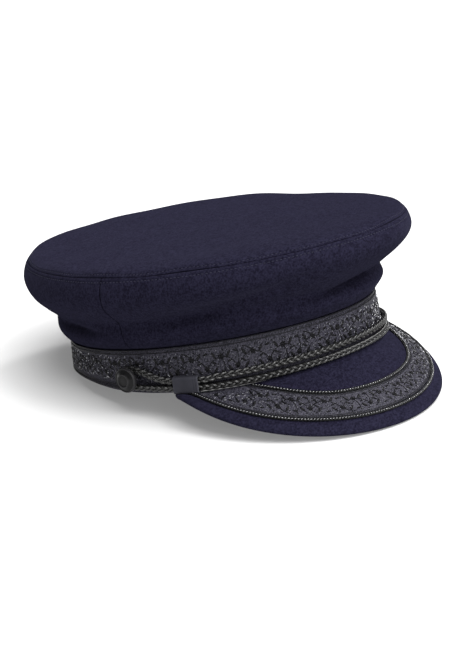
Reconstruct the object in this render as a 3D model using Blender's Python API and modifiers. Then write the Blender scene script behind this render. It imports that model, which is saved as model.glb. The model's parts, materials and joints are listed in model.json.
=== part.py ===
"""A sailor's peaked cap: wool crown, woven trim, cloth-covered peak and braided chin cord.

The cap is modelled upright, with its rim level at local z = 0, and hangs from one empty that tips it
until it rests on the back of the rim and the tip of the peak, as it does on a table.
Angles go round the cap from the front (-Y) towards the wearer's right (-X).
"""

import math

import bmesh
import bpy
from mathutils import Matrix, Vector

MM = 0.001
GAP = 0.3 * MM  # clearance between neighbouring pieces
FACET = math.radians(6)  # one facet round the cap; every ring shares the same corners
FIRST_CORNER = math.radians(3)
FULL_TURN = 2 * math.pi
MERGE_DISTANCE = 0.01 * MM
SHARP_ANGLE = math.radians(40)
DIFFERENCE = 0.01  # the step, in radians or shares, for slopes by differences
HALVINGS = 50  # for the two places found by halving an interval

# Band: an oval, measured on the outer face of the trim
BAND_HALF_LENGTH = 102.9 * MM
BAND_HALF_WIDTH = 88.7 * MM
BAND_TAPER = 1.5 * MM  # the oval is this much smaller at the top of the band
TRIM_THICKNESS = 1.0 * MM
HEADBAND_THICKNESS = 2.5 * MM
BAND_TOP = 23.9 * MM
BAND_TOP_FRONT_RISE = 6.2 * MM
RIM_DIP = 2.3 * MM  # the rim is lowest over each ear
RIM_FRONT_RISE = 4.4 * MM  # and rises from there over the forehead
RIM_DIP_END = math.radians(125)  # behind this angle it is level
TRIM_ABOVE_RIM = 1.2 * MM

# Crown: a row for each section ring, from the band up to the middle of the tip. half_length and
# half_width are the oval, forward its shift to the front, height its level over the ears,
# front_rise and end_rise the cosine and double-cosine lift of the ring, sag how far it sinks at the
# back, and twist how far the quarters between rise and sink by turns.
WOOL_THICKNESS = 2.0 * MM
CROWN_SAG_ANGLE = math.radians(189)
CROWN_COLUMNS = (
    "half_length", "half_width", "forward", "height", "front_rise", "end_rise", "sag", "twist",
)
CROWN_ROWS_MM = {
    "foot":      (99.9, 85.7, 0.0, 24.2, 6.2, 0.0, 0.0, 0.0),
    "lip":       (104.2, 89.8, -0.4, 27.2, 6.0, 0.0, 0.0, 0.0),
    "roll":      (108.0, 93.2, -0.2, 33.4, 5.5, 0.2, 0.0, 0.0),
    "crease":    (107.8, 93.0, -1.2, 41.8, 5.0, 0.5, 0.2, 0.0),
    "belly":     (115.4, 99.0, -0.5, 48.0, 4.5, 0.8, 0.6, 0.0),
    "overhang":  (122.8, 105.2, 0.3, 54.3, 3.5, 1.2, 1.2, 0.2),
    "flank":     (127.3, 108.8, 2.0, 60.7, 2.6, 1.5, 1.9, 0.4),
    "edge":      (128.1, 109.3, 3.0, 67.6, 1.8, 1.7, 2.3, 0.6),
    "seam":      (124.5, 106.5, 3.6, 75.3, 1.2, 1.8, 2.8, 0.7),
    "shoulder":  (116.8, 99.2, 3.8, 78.7, 1.2, 1.4, 3.0, 0.8),
    "tip_outer": (88.0, 73.0, 3.8, 79.9, 1.2, 0.9, 2.1, 0.6),
    "tip_inner": (45.0, 37.0, 3.8, 80.3, 0.7, 0.4, 0.7, 0.3),
    "middle":    (0.0, 0.0, 3.8, 80.5, 0.0, 0.0, 0.0, 0.0),
}
SIDE_STEPS = 2  # facets between two rows of the side crown
TIP_STEPS = 1
SEAM_GAP_SHARE = 0.03  # the part of a row that each side of the seam round the tip leaves free
PANEL_SEAM_ANGLE = math.radians(88.8)  # the side crown's two panels meet over the ears
PANEL_HALF_GAP = 0.18 * MM

# Folds in the side crown: angle is the middle of the fold and half_angle its reach to each side, in
# degrees; height is its level there, climb its rise for each degree towards the back, half_height
# the reach above and below it, and depth how far it sinks in, in millimetres.
FOLD_COLUMNS = ("angle", "half_angle", "height", "climb", "half_height", "depth")
FOLD_ROWS = {
    "right_front": (49.0, 38.0, 52.6, -0.36, 5.2, 4.8),
    "front":       (-2.0, 32.0, 46.6, -0.09, 2.8, 2.4),
    "right_back":  (114.0, 27.0, 35.2, 0.06, 3.4, 3.0),
    "left_front":  (-48.0, 36.0, 51.0, 0.12, 4.6, 1.6),
    "back":        (190.0, 40.0, 44.0, 0.0, 4.6, 1.2),
}

# Peak: its outer edge is an arc seen from above, dropping towards the tip
PEAK_THICKNESS = 3.0 * MM
PEAK_END_ANGLE = math.radians(73)
PEAK_END_POWER = 12  # how late the outer edge turns in to the band
PEAK_CUT = 0.995  # the share of that angle where the peak's body ends
PEAK_ARC_RADIUS = 97.5 * MM
PEAK_ARC_FORWARD = 41.0 * MM
PEAK_TIP_DROP = 35.2 * MM
PEAK_EDGE_BOW = 12.0 * MM
PEAK_CAMBER = 1.5 * MM  # it swells this much, two thirds of the way out
CAMBER_SCALE = 27 / 4  # makes the highest value of share squared times the rest one
PEAK_FULL_CAMBER_WIDTH = 48.0 * MM
PEAK_JOINT_LOW = -2.7 * MM  # its top face meets the band at this level over the ears
PEAK_JOINT_RISE = 6.3 * MM  # and this much higher over the forehead
PEAK_SECTIONS = 42
PEAK_STEPS = 6

# Trim on the peak and its two braids, measured in from the peak's edge
PEAK_TRIM_MARGIN = 10.4 * MM
PEAK_TRIM_WIDTH = 15.8 * MM
PEAK_TRIM_FLARE = 5.5 * MM  # it is this much wider towards its ends
FLARE_START = math.radians(18)
FLARE_REACH = math.radians(30)
PEAK_TRIM_THICKNESS = 0.8 * MM
PEAK_TRIM_END = 3.0 * MM  # the crescent's width where it is cut off at each end
PEAK_TRIM_FROM_BAND = 7.4 * MM  # it leaves this much beside the band to the cord and keepers
PEAK_TRIM_SECTIONS = 30
PEAK_TRIM_STEPS = 4
PEAK_BRAID_RADIUS = 1.0 * MM
PEAK_BRAID_STEPS = 28

# Chin cord: one closed loop round both buttons, through both keepers
CORD_RADIUS = 2.1 * MM
CORD_FRONT_SPACING = 5.6 * MM
CORD_ABOVE_PEAK = 5.6 * MM  # the middle of the two strands above the peak's joint
CORD_STEPS = 33
CORD_BEND_STEPS = 6
GATHER_START = 2.5  # where the strands start to close in, in half keepers from a keeper's middle
SPREAD_START = 1.3  # and where they start to part again beyond it
KEEPER_ANGLE = math.radians(68)
KEEPER_LENGTH = 15.5 * MM
KEEPER_HALF_TURN = KEEPER_LENGTH / 2 / BAND_HALF_LENGTH
KEEPER_WALL = 0.5 * MM
KEEPER_HEIGHT = 4.2 * MM
KEEPER_ROUND_OFF = 1.2 * MM
KEEPER_STEPS = 3
KEEPER_CORNER_STEPS = 2
BUTTON_ANGLE = math.radians(89.5)
BUTTON_HEIGHT = 7.8 * MM
BUTTON_LOOP_RADIUS = 5.4 * MM  # the bend of the cord round a button's shank
BUTTON_SHANK_RADIUS = 3.0 * MM
BUTTON_HEAD_BASE = 5.2 * MM  # the head stands off the trim to let the cord pass behind it
BUTTON_PROFILE_MM = (  # radius and height of the turned head, from the axis outwards
    (0.0, 4.6), (3.4, 4.3), (3.9, 4.6), (4.6, 4.4), (5.2, 3.5), (6.6, 2.8), (7.4, 2.6), (7.75, 1.9),
    (7.6, 0.7), (6.6, 0.0),
)
BUTTON_SIDES = 16

COLOURS = {  # red, green, blue, roughness
    "navy_wool": (0.030, 0.027, 0.062, 0.95),
    "woven_trim": (0.055, 0.053, 0.075, 0.55),
    "braid": (0.022, 0.021, 0.024, 0.45),
    "keeper_hide": (0.045, 0.044, 0.062, 0.5),
    "button_black": (0.018, 0.017, 0.022, 0.35),
}


def corner_angles(first, last):
    """The shared facet corners strictly between two angles."""
    count = math.ceil((last - first) / FACET) + 2
    start = math.floor((first - FIRST_CORNER) / FACET)
    corners = [FIRST_CORNER + FACET * (start + k) for k in range(count + 1)]
    margin = FACET / 10
    return [angle for angle in corners if first + margin < angle < last - margin]


def all_round():
    return [FIRST_CORNER + FACET * k for k in range(round(FULL_TURN / FACET))]


def oval(angle, half_length, half_width, height, forward=0.0):
    return Vector((-half_width * math.sin(angle), -forward - half_length * math.cos(angle), height))


def smooth_step(value):
    value = min(max(value, 0.0), 1.0)
    return value * value * (3 - 2 * value)


def rim_height(angle):
    turn = abs(math.remainder(angle, FULL_TURN))
    front = max(0.0, math.cos(turn)) ** 2
    level = smooth_step((turn - math.pi / 2) / (RIM_DIP_END - math.pi / 2))
    return RIM_FRONT_RISE * front - RIM_DIP * (1 - level)


def band_top(angle):
    return BAND_TOP + BAND_TOP_FRONT_RISE * math.cos(angle)


def band_point(angle, outset, height):
    """A point beside the band: outset is measured out from the trim's outer face."""
    grown = outset - BAND_TAPER * max(0.0, height) / BAND_TOP
    return oval(angle, BAND_HALF_LENGTH + grown, BAND_HALF_WIDTH + grown, height)


def band_normal(angle):
    return Vector(
        (-math.sin(angle) / BAND_HALF_WIDTH, -math.cos(angle) / BAND_HALF_LENGTH, 0.0)
    ).normalized()


def crown_rings():
    """The crown's rows in metres, each a dictionary by column."""
    return [
        dict(zip(CROWN_COLUMNS, (value * MM for value in values)))
        for values in CROWN_ROWS_MM.values()
    ]


def crown_row(angle, ring):
    """The point of one row at one angle."""
    row = crown_rings()[ring]
    sunk = row["sag"] * max(0.0, math.cos(angle - CROWN_SAG_ANGLE)) ** 2
    rise = row["front_rise"] * math.cos(angle) + row["end_rise"] * math.cos(2 * angle) - sunk
    height = row["height"] + rise + row["twist"] * math.sin(2 * angle)
    return oval(angle, row["half_length"], row["half_width"], height, row["forward"])


def fold_depth(angle, height):
    """How far the folds sink the side crown in at one angle and height."""
    depth = 0.0
    for values in FOLD_ROWS.values():
        fold = dict(zip(FOLD_COLUMNS, values))
        turn = math.degrees(math.remainder(angle - math.radians(fold["angle"]), FULL_TURN))
        if abs(turn) < fold["half_angle"]:
            level = (fold["height"] + fold["climb"] * turn) * MM
            along = math.cos(math.pi / 2 * turn / fold["half_angle"]) ** 2
            across = math.exp(-(((height - level) / (fold["half_height"] * MM)) ** 2))
            depth += fold["depth"] * MM * along * across
    return depth


def crown_point(angle, place):
    """A point of the crown's outer face; place runs smoothly up the rows, 1 for each."""
    top = len(CROWN_ROWS_MM) - 1
    ring = min(int(place), top - 1)
    t = place - ring
    before, start, end, after = (
        crown_row(angle, min(max(ring + step, 0), top)) for step in (-1, 0, 1, 2)
    )
    smooth = 0.5 * (
        2 * start
        + (end - before) * t
        + (2 * before - 5 * start + 4 * end - after) * t**2
        + (3 * start - before - 3 * end + after) * t**3
    )
    from_foot = min(place, 1.0)
    return smooth - band_normal(angle) * fold_depth(angle, smooth.z) * from_foot


def crown_normal(angle, place):
    """The crown's outward normal, by differences round it and up it."""
    step = DIFFERENCE
    top = len(CROWN_ROWS_MM) - 1
    if place > top - step:
        return Vector((0, 0, 1))
    round_it = crown_point(angle + step, place) - crown_point(angle - step, place)
    up_it = crown_point(angle, min(place + step, top)) - crown_point(angle, max(place - step, 0.0))
    return up_it.cross(round_it).normalized()


def crown_wall(angle, first, last, steps):
    """The closed section of the wool between two places up the crown."""
    count = round((last - first) * steps)
    places = [first + (last - first) * k / count for k in range(count + 1)]
    outer = [crown_point(angle, place) for place in places]
    inner = [
        point - crown_normal(angle, place) * WOOL_THICKNESS for point, place in zip(outer, places)
    ]
    return outer + inner[::-1]


def make_material(name):
    red, green, blue, roughness = COLOURS[name]
    material = bpy.data.materials.new(name)
    material.use_nodes = True
    shader = material.node_tree.nodes["Principled BSDF"]
    shader.inputs["Base Color"].default_value = (red, green, blue, 1.0)
    shader.inputs["Roughness"].default_value = roughness
    material.diffuse_color = (red, green, blue, 1.0)
    return material


def add_object(name, data, material, cap):
    piece = bpy.data.objects.new(name, data)
    piece.data.materials.append(MATERIALS[material])
    piece.parent = cap
    COLLECTION.objects.link(piece)
    return piece


def surface(name, rows, closed, material, cap, thickness):
    """An open grid of points given a thickness behind its face; rows run round the cap."""
    mesh = bpy.data.meshes.new(name)
    width = len(rows[0])
    points = [point for row in rows for point in row]
    faces = []
    for r in range(len(rows) if closed else len(rows) - 1):
        below, above = r * width, (r + 1) % len(rows) * width
        for c in range(width - 1):
            faces.append((below + c, below + c + 1, above + c + 1, above + c))
    mesh.from_pydata(points, [], faces)
    mesh.shade_smooth()
    piece = add_object(name, mesh, material, cap)
    wall = piece.modifiers.new("wall", "SOLIDIFY")
    wall.thickness = thickness
    wall.offset = -1.0
    return piece


def loft(name, sections, material, cap, cyclic=False):
    """A closed wall skinned through sections, each its outer points and then its inner ones back."""
    mesh = bpy.data.meshes.new(name)
    width = len(sections[0])
    points = [point for section in sections for point in section]
    faces = []
    for s in range(len(sections) if cyclic else len(sections) - 1):
        here, there = s * width, (s + 1) % len(sections) * width
        for c in range(width):
            d = (c + 1) % width
            faces.append((here + c, here + d, there + d, there + c))
    for base in () if cyclic else (0, (len(sections) - 1) * width):
        for c in range(width // 2 - 1):
            faces.append((base + c, base + c + 1, base + width - 2 - c, base + width - 1 - c))
    mesh.from_pydata(points, [], faces)
    shape = bmesh.new()
    shape.from_mesh(mesh)
    bmesh.ops.remove_doubles(shape, verts=shape.verts, dist=MERGE_DISTANCE)
    bmesh.ops.recalc_face_normals(shape, faces=shape.faces)
    shape.to_mesh(mesh)
    shape.free()
    mesh.shade_smooth()
    mesh.set_sharp_from_angle(angle=SHARP_ANGLE)
    return add_object(name, mesh, material, cap)


def tube(name, route, radius, material, cap, cyclic=False):
    """A round tube along a route of points."""
    curve = bpy.data.curves.new(name, "CURVE")
    curve.dimensions = "3D"
    curve.bevel_depth = radius
    curve.bevel_resolution = 2
    curve.use_fill_caps = not cyclic
    spline = curve.splines.new("POLY")
    spline.points.add(len(route) - 1)
    for point, place in zip(spline.points, route):
        point.co = (*place, 1.0)
    spline.use_cyclic_u = cyclic
    return add_object(name, curve, material, cap)


def headband(cap):
    """The wool wall that the trim, the peak and the crown are sewn to."""
    outset = -(TRIM_THICKNESS + GAP)
    rows = [
        [band_point(angle, outset, level) for level in (rim_height(angle), band_top(angle))]
        for angle in all_round()
    ]
    return surface("headband", rows, True, "navy_wool", cap, HEADBAND_THICKNESS)


def trim_foot(angle):
    """The trim stops above the rim, and above the peak where there is one."""
    turn = abs(math.remainder(angle, FULL_TURN))
    above_rim = rim_height(angle) + TRIM_ABOVE_RIM
    return max(above_rim, peak_joint(angle) + GAP) if turn < PEAK_END_ANGLE else above_rim


def band_trim(cap):
    """The woven trim round the outside of the headband."""
    rows = [
        [band_point(angle, 0.0, level) for level in (trim_foot(angle), band_top(angle))]
        for angle in all_round()
    ]
    return surface("band_trim", rows, True, "woven_trim", cap, TRIM_THICKNESS)


def crown_panels(cap):
    """The side crown's front and back halves, from the band up to the seam round the tip."""
    seam = list(CROWN_ROWS_MM).index("seam")
    spans = {
        "side_crown_front": (-PANEL_SEAM_ANGLE, PANEL_SEAM_ANGLE),
        "side_crown_back": (PANEL_SEAM_ANGLE, FULL_TURN - PANEL_SEAM_ANGLE),
    }
    half_gap = PANEL_HALF_GAP / BAND_HALF_LENGTH
    for name, (first, last) in spans.items():
        angles = [first + half_gap, *corner_angles(first, last), last - half_gap]
        sections = [crown_wall(angle, 0.0, seam - SEAM_GAP_SHARE, SIDE_STEPS) for angle in angles]
        loft(name, sections, "navy_wool", cap)


def crown_tip(cap):
    """The flat oval top of the crown, gently domed."""
    seam = list(CROWN_ROWS_MM).index("seam")
    sections = [
        crown_wall(angle, seam + SEAM_GAP_SHARE, len(CROWN_ROWS_MM) - 1, TIP_STEPS)
        for angle in all_round()
    ]
    loft("crown_tip", sections, "navy_wool", cap, cyclic=True)


def peak_joint(angle):
    """Height of the peak's top face where it meets the band."""
    return PEAK_JOINT_LOW + PEAK_JOINT_RISE * math.cos(angle) ** 2


def peak_edge(angle):
    """The peak's outer edge beyond one angle of the band."""
    start = band_point(angle, GAP, 0.0)
    out = band_normal(angle)
    centre = Vector((0.0, -PEAK_ARC_FORWARD, 0.0))
    along = (start - centre).dot(out)
    reach = -along + math.sqrt(along**2 - (start - centre).length_squared + PEAK_ARC_RADIUS**2)
    fade = max(0.0, 1.0 - (abs(angle) / PEAK_END_ANGLE) ** PEAK_END_POWER) ** 0.5
    place = start + out * reach * fade
    share = max(0.0, (-place.y - PEAK_ARC_FORWARD) / PEAK_ARC_RADIUS)
    drop = PEAK_TIP_DROP * share + PEAK_EDGE_BOW * share * (1 - share)
    place.z = peak_joint(angle) * (1 - fade) - drop * fade
    return place


def peak_point(angle, share):
    """A point of the peak's top face, share of the way from the band to the edge."""
    start = band_point(angle, GAP, 0.0)
    start.z = peak_joint(angle)
    end = peak_edge(angle)
    place = start.lerp(end, share)
    reach = min(1.0, (end - start).length / PEAK_FULL_CAMBER_WIDTH)
    place.z += PEAK_CAMBER * reach * CAMBER_SCALE * share**2 * (1 - share)
    return place


def peak_normal(angle, share):
    """The peak's upward normal, by differences along and across it."""
    low, high = max(share - DIFFERENCE, 0.0), min(share + DIFFERENCE, 1.0)
    along = peak_point(angle + DIFFERENCE, share) - peak_point(angle - DIFFERENCE, share)
    across = peak_point(angle, high) - peak_point(angle, low)
    normal = across.cross(along).normalized()
    return normal if normal.z > 0 else -normal


def peak_lifted(angle, share, lift):
    return peak_point(angle, share) + peak_normal(angle, share) * lift


def peak_width(angle):
    return (peak_edge(angle) - peak_point(angle, 0.0)).length


def peak_share(angle, margin):
    """How far out the line lies that runs margin inside the peak's edge, clear of the cord."""
    width = peak_width(angle)
    return max(width - margin, PEAK_TRIM_FROM_BAND) / width


def trim_margin(angle, across, beyond=0.0):
    """How far in from the peak's edge a line lies, by its share across the trim and how far beyond."""
    flare = PEAK_TRIM_FLARE * smooth_step((abs(angle) - FLARE_START) / FLARE_REACH)
    return PEAK_TRIM_MARGIN + across * (PEAK_TRIM_WIDTH + flare) + beyond


def peak_last_angle(across, beyond):
    """Where such a line comes to the cord."""
    low, high = 0.0, PEAK_END_ANGLE
    for _ in range(HALVINGS):
        middle = (low + high) / 2
        if peak_width(middle) - trim_margin(middle, across, beyond) > PEAK_TRIM_FROM_BAND:
            low = middle
        else:
            high = middle
    return low


def spread(last, count):
    """Angles from -last to last, evenly spaced."""
    return [last * (2 * k / count - 1) for k in range(count + 1)]


def spread_to_ends(last, count):
    """Angles from -last to last, closer together towards the ends."""
    return [last * math.sin(math.pi * (k / count - 0.5)) for k in range(count + 1)]


def peak(cap):
    """The stiff peak: its inner face stands upright against the headband."""
    sections = []
    for angle in spread_to_ends(PEAK_END_ANGLE * PEAK_CUT, PEAK_SECTIONS):
        top = [peak_point(angle, k / PEAK_STEPS) for k in range(PEAK_STEPS + 1)]
        under = []
        for k in range(PEAK_STEPS + 1):
            share = k / PEAK_STEPS
            down = peak_normal(angle, share).lerp(Vector((0, 0, 1)), (1 - share) ** 3).normalized()
            under.append(top[k] - down * PEAK_THICKNESS)
        sections.append(top + under[::-1])
    return loft("peak", sections, "navy_wool", cap)


def peak_trim(cap):
    """The crescent of woven trim on top of the peak."""
    last = peak_last_angle(0.0, PEAK_TRIM_END)
    sections = []
    for angle in spread(last, PEAK_TRIM_SECTIONS):
        outer = peak_share(angle, trim_margin(angle, 0.0))
        inner = peak_share(angle, trim_margin(angle, 1.0))
        step = (outer - inner) / PEAK_TRIM_STEPS
        shares = [inner + step * k for k in range(PEAK_TRIM_STEPS + 1)]
        low = [peak_lifted(angle, share, GAP) for share in shares]
        high = [peak_lifted(angle, share, GAP + PEAK_TRIM_THICKNESS) for share in shares]
        sections.append(high + low[::-1])
    return loft("peak_trim", sections, "woven_trim", cap)


def peak_braids(cap):
    """A narrow braid along each edge of the trim on the peak."""
    clear = PEAK_BRAID_RADIUS + GAP
    lines = {"peak_braid_outer": (0.0, -clear), "peak_braid_inner": (1.0, clear)}
    for name, (across, beyond) in lines.items():
        route = []
        for angle in spread(peak_last_angle(across, beyond), PEAK_BRAID_STEPS):
            share = peak_share(angle, trim_margin(angle, across, beyond))
            route.append(peak_lifted(angle, share, clear))
        tube(name, route, PEAK_BRAID_RADIUS, "braid", cap)


def to_keeper(angle):
    """0 over the forehead, rising to 1 where the cord enters a keeper, and 1 beyond it."""
    start = KEEPER_ANGLE - KEEPER_HALF_TURN * GATHER_START
    return smooth_step((abs(angle) - start) / KEEPER_HALF_TURN)


def to_button(angle):
    """0 as far as the end of a keeper, rising to 1 at the button."""
    start = KEEPER_ANGLE + KEEPER_HALF_TURN * SPREAD_START
    return smooth_step((abs(angle) - start) / (BUTTON_ANGLE - start))


def cord_middle(angle):
    """Height of the middle between the cord's two strands."""
    front = peak_joint(angle) + CORD_ABOVE_PEAK
    from_front = front * (1 - to_keeper(angle)) + KEEPER_HEIGHT * to_keeper(angle)
    return from_front + (BUTTON_HEIGHT - KEEPER_HEIGHT) * to_button(angle)


def cord_half_spacing(angle):
    """Half the distance between the two strands' middles."""
    front, in_keeper = CORD_FRONT_SPACING / 2, CORD_RADIUS + GAP / 2
    return (
        front
        + (in_keeper - front) * to_keeper(angle)
        + (BUTTON_LOOP_RADIUS - in_keeper) * to_button(angle)
    )


def cord_point(angle, height):
    """A point of the cord: it lies on the trim, and on the back wall of a keeper inside one."""
    lift = (KEEPER_WALL + GAP) * (to_keeper(angle) - to_button(angle))
    return band_point(angle, GAP + CORD_RADIUS + lift, height)


def cord_route():
    """The whole loop: under strand to the right, round a button, back above, round the other."""
    strand = spread(BUTTON_ANGLE, CORD_STEPS)
    under = [cord_point(angle, cord_middle(angle) - cord_half_spacing(angle)) for angle in strand]
    above = [cord_point(angle, cord_middle(angle) + cord_half_spacing(angle)) for angle in strand]
    bends = {}
    for side in (1, -1):
        bends[side] = []
        for k in range(1, CORD_BEND_STEPS):
            swing = math.pi * k / CORD_BEND_STEPS
            angle = side * (BUTTON_ANGLE + math.sin(swing) * BUTTON_LOOP_RADIUS / BAND_HALF_LENGTH)
            height = BUTTON_HEIGHT - math.cos(swing) * BUTTON_LOOP_RADIUS
            bends[side].append(cord_point(angle, height))
    return under + bends[1] + above[::-1] + bends[-1][::-1]


def chin_cord(cap):
    return tube("chin_cord", cord_route(), CORD_RADIUS, "braid", cap, cyclic=True)


def beside_band(angle, height):
    """A frame on the trim: x along the band, y up, z straight out."""
    out = band_normal(angle)
    up = Vector((0, 0, 1))
    along = up.cross(out)
    place = band_point(angle, 0.0, height)
    return Matrix.Translation(place) @ Matrix((along, up, out)).transposed().to_4x4()


def keepers(cap):
    """The flat sleeves that hold the two strands together."""
    half_height = 2 * CORD_RADIUS + GAP * 1.5
    depth = 2 * CORD_RADIUS + 2 * GAP
    corners = []
    for x_sign, y_sign, first in ((1, 1, 0), (-1, 1, 90), (-1, -1, 180), (1, -1, 270)):
        for k in range(KEEPER_CORNER_STEPS + 1):
            swing = math.radians(first + 90 * k / KEEPER_CORNER_STEPS)
            out = depth / 2 + x_sign * (depth / 2 - KEEPER_ROUND_OFF)
            up = y_sign * (half_height - KEEPER_ROUND_OFF)
            corners.append((
                out + KEEPER_ROUND_OFF * math.cos(swing), up + KEEPER_ROUND_OFF * math.sin(swing),
            ))
    inside = GAP * 1.5 + KEEPER_WALL
    for side, name in ((1, "keeper_right"), (-1, "keeper_left")):
        turns = [KEEPER_HALF_TURN * (1 - 2 * k / KEEPER_STEPS) for k in range(KEEPER_STEPS + 1)]
        rows = [
            [
                band_point(side * KEEPER_ANGLE + turn, inside + out, KEEPER_HEIGHT + up)
                for turn in turns
            ]
            for out, up in corners
        ]
        sleeve = surface(name, rows, True, "keeper_hide", cap, KEEPER_WALL)
        sleeve.modifiers["wall"].offset = 1.0


def buttons(cap):
    """Turned buttons: a domed head on a shank that the cord loops round."""
    head = [(radius * MM, BUTTON_HEAD_BASE + height * MM) for radius, height in BUTTON_PROFILE_MM]
    profile = head + [
        (BUTTON_SHANK_RADIUS, BUTTON_HEAD_BASE), (BUTTON_SHANK_RADIUS, GAP), (0.0, GAP)
    ]
    for side, name in ((1, "button_right"), (-1, "button_left")):
        mesh = bpy.data.meshes.new(name)
        edges = [(k, k + 1) for k in range(len(profile) - 1)]
        mesh.from_pydata([(radius, 0.0, height) for radius, height in profile], edges, [])
        button = add_object(name, mesh, "button_black", cap)
        turning = button.modifiers.new("turning", "SCREW")
        turning.steps = turning.render_steps = BUTTON_SIDES
        turning.use_merge_vertices = True
        turning.merge_threshold = MERGE_DISTANCE
        turning.use_normal_calculate = True
        button.matrix_local = beside_band(side * BUTTON_ANGLE, BUTTON_HEIGHT)


def resting_tilt():
    """The tip back at which the peak's tip and the back of the rim touch the same level."""
    def level_difference(tilt):
        tip = peak_edge(0.0) - peak_normal(0.0, 1.0) * PEAK_THICKNESS
        back = band_point(math.pi, -(TRIM_THICKNESS + GAP), rim_height(math.pi))
        turn = Matrix.Rotation(-tilt, 3, "X")
        return (turn @ tip).z - (turn @ back).z

    low, high = 0.0, math.radians(30)
    for _ in range(HALVINGS):
        middle = (low + high) / 2
        if level_difference(middle) < 0:
            low = middle
        else:
            high = middle
    return low


def stand_on_floor(cap):
    """Moves the cap so that the middle of the bottom of its box is at the origin."""
    bpy.context.view_layer.update()
    graph = bpy.context.evaluated_depsgraph_get()
    corners = []
    for piece in COLLECTION.objects:
        if piece.type != "EMPTY":
            shape = piece.evaluated_get(graph)
            mesh = shape.to_mesh()
            corners += [piece.matrix_world @ vertex.co for vertex in mesh.vertices]
            shape.to_mesh_clear()
    low = Vector(map(min, zip(*corners)))
    high = Vector(map(max, zip(*corners)))
    cap.location -= Vector(((low.x + high.x) / 2, (low.y + high.y) / 2, low.z))


def build():
    cap = bpy.data.objects.new("cap", None)
    COLLECTION.objects.link(cap)
    headband(cap)
    band_trim(cap)
    crown_panels(cap)
    crown_tip(cap)
    peak(cap)
    peak_trim(cap)
    peak_braids(cap)
    chin_cord(cap)
    keepers(cap)
    buttons(cap)
    cap.rotation_euler.x = -resting_tilt()
    stand_on_floor(cap)


for old in list(bpy.data.objects):
    bpy.data.objects.remove(old)
MATERIALS = {name: make_material(name) for name in COLOURS}
COLLECTION = bpy.data.collections.new("sailor_cap")
bpy.context.scene.collection.children.link(COLLECTION)
build()
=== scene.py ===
"""The looks of a navy sailor's cap: wool crown, figured trim, plaited cords, keepers and buttons.

Everything is made in the cap's own frame, with the rim level at z = 0, and add_piece carries it to
where the cap rests. Angles go round the cap from the front (-Y) towards the wearer's right (-X). Shapes
repeat the cap's formulas over arrays of angles, so that a whole skin of points comes from one call. A
mesh is its points, its faces and the UVs of their corners.
"""

import json
import math

import bmesh
import bpy
import numpy as np
from mathutils import Matrix, Vector


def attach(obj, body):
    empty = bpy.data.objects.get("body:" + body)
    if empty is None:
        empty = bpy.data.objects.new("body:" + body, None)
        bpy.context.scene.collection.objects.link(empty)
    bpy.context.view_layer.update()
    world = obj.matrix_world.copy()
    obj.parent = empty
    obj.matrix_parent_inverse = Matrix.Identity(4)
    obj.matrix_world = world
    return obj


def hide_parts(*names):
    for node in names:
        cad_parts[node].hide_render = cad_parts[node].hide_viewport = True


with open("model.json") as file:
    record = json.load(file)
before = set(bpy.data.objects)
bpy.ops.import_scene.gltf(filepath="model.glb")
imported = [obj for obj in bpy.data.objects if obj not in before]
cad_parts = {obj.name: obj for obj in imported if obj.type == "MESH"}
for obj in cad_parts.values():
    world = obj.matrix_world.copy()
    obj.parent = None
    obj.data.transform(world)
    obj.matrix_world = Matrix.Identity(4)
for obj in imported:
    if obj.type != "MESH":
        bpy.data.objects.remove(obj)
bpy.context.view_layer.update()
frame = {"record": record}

MM = 0.001
FULL_TURN = 2 * math.pi
UP = np.array((0.0, 0.0, 1.0))
TINY = 1e-15 * UP             # keeps a normal's length above zero
SEED = 11

SEAT = next(mount for mount in frame["record"]["mounts"] if mount["name"] == "head_seat")
TIP_BACK = math.atan2(-SEAT["axis"][1], -SEAT["axis"][2])
CAP_TURN = np.array(Matrix.Rotation(-TIP_BACK, 3, "X"))
CAP_PLACE = np.array(SEAT["pos_m"])

# Band
BAND_HALF_LENGTH = 102.9 * MM
BAND_HALF_WIDTH = 88.7 * MM
BAND_TAPER = 1.5 * MM
TRIM_THICKNESS = 1.0 * MM
HEADBAND_THICKNESS = 2.5 * MM
HEADBAND_ROUNDING = 0.9 * MM
TRIM_ROUNDING = 0.4 * MM
BAND_TOP = 23.9 * MM
BAND_TOP_FRONT_RISE = 6.2 * MM
RIM_DIP = 2.3 * MM
RIM_FRONT_RISE = 4.4 * MM
RIM_DIP_END = math.radians(125)
TRIM_ABOVE_RIM = 1.2 * MM
GAP = 0.3 * MM
BAND_COLUMNS = 361
BAND_ROWS = 13
BAND_EDGE_STEPS = 7

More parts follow.
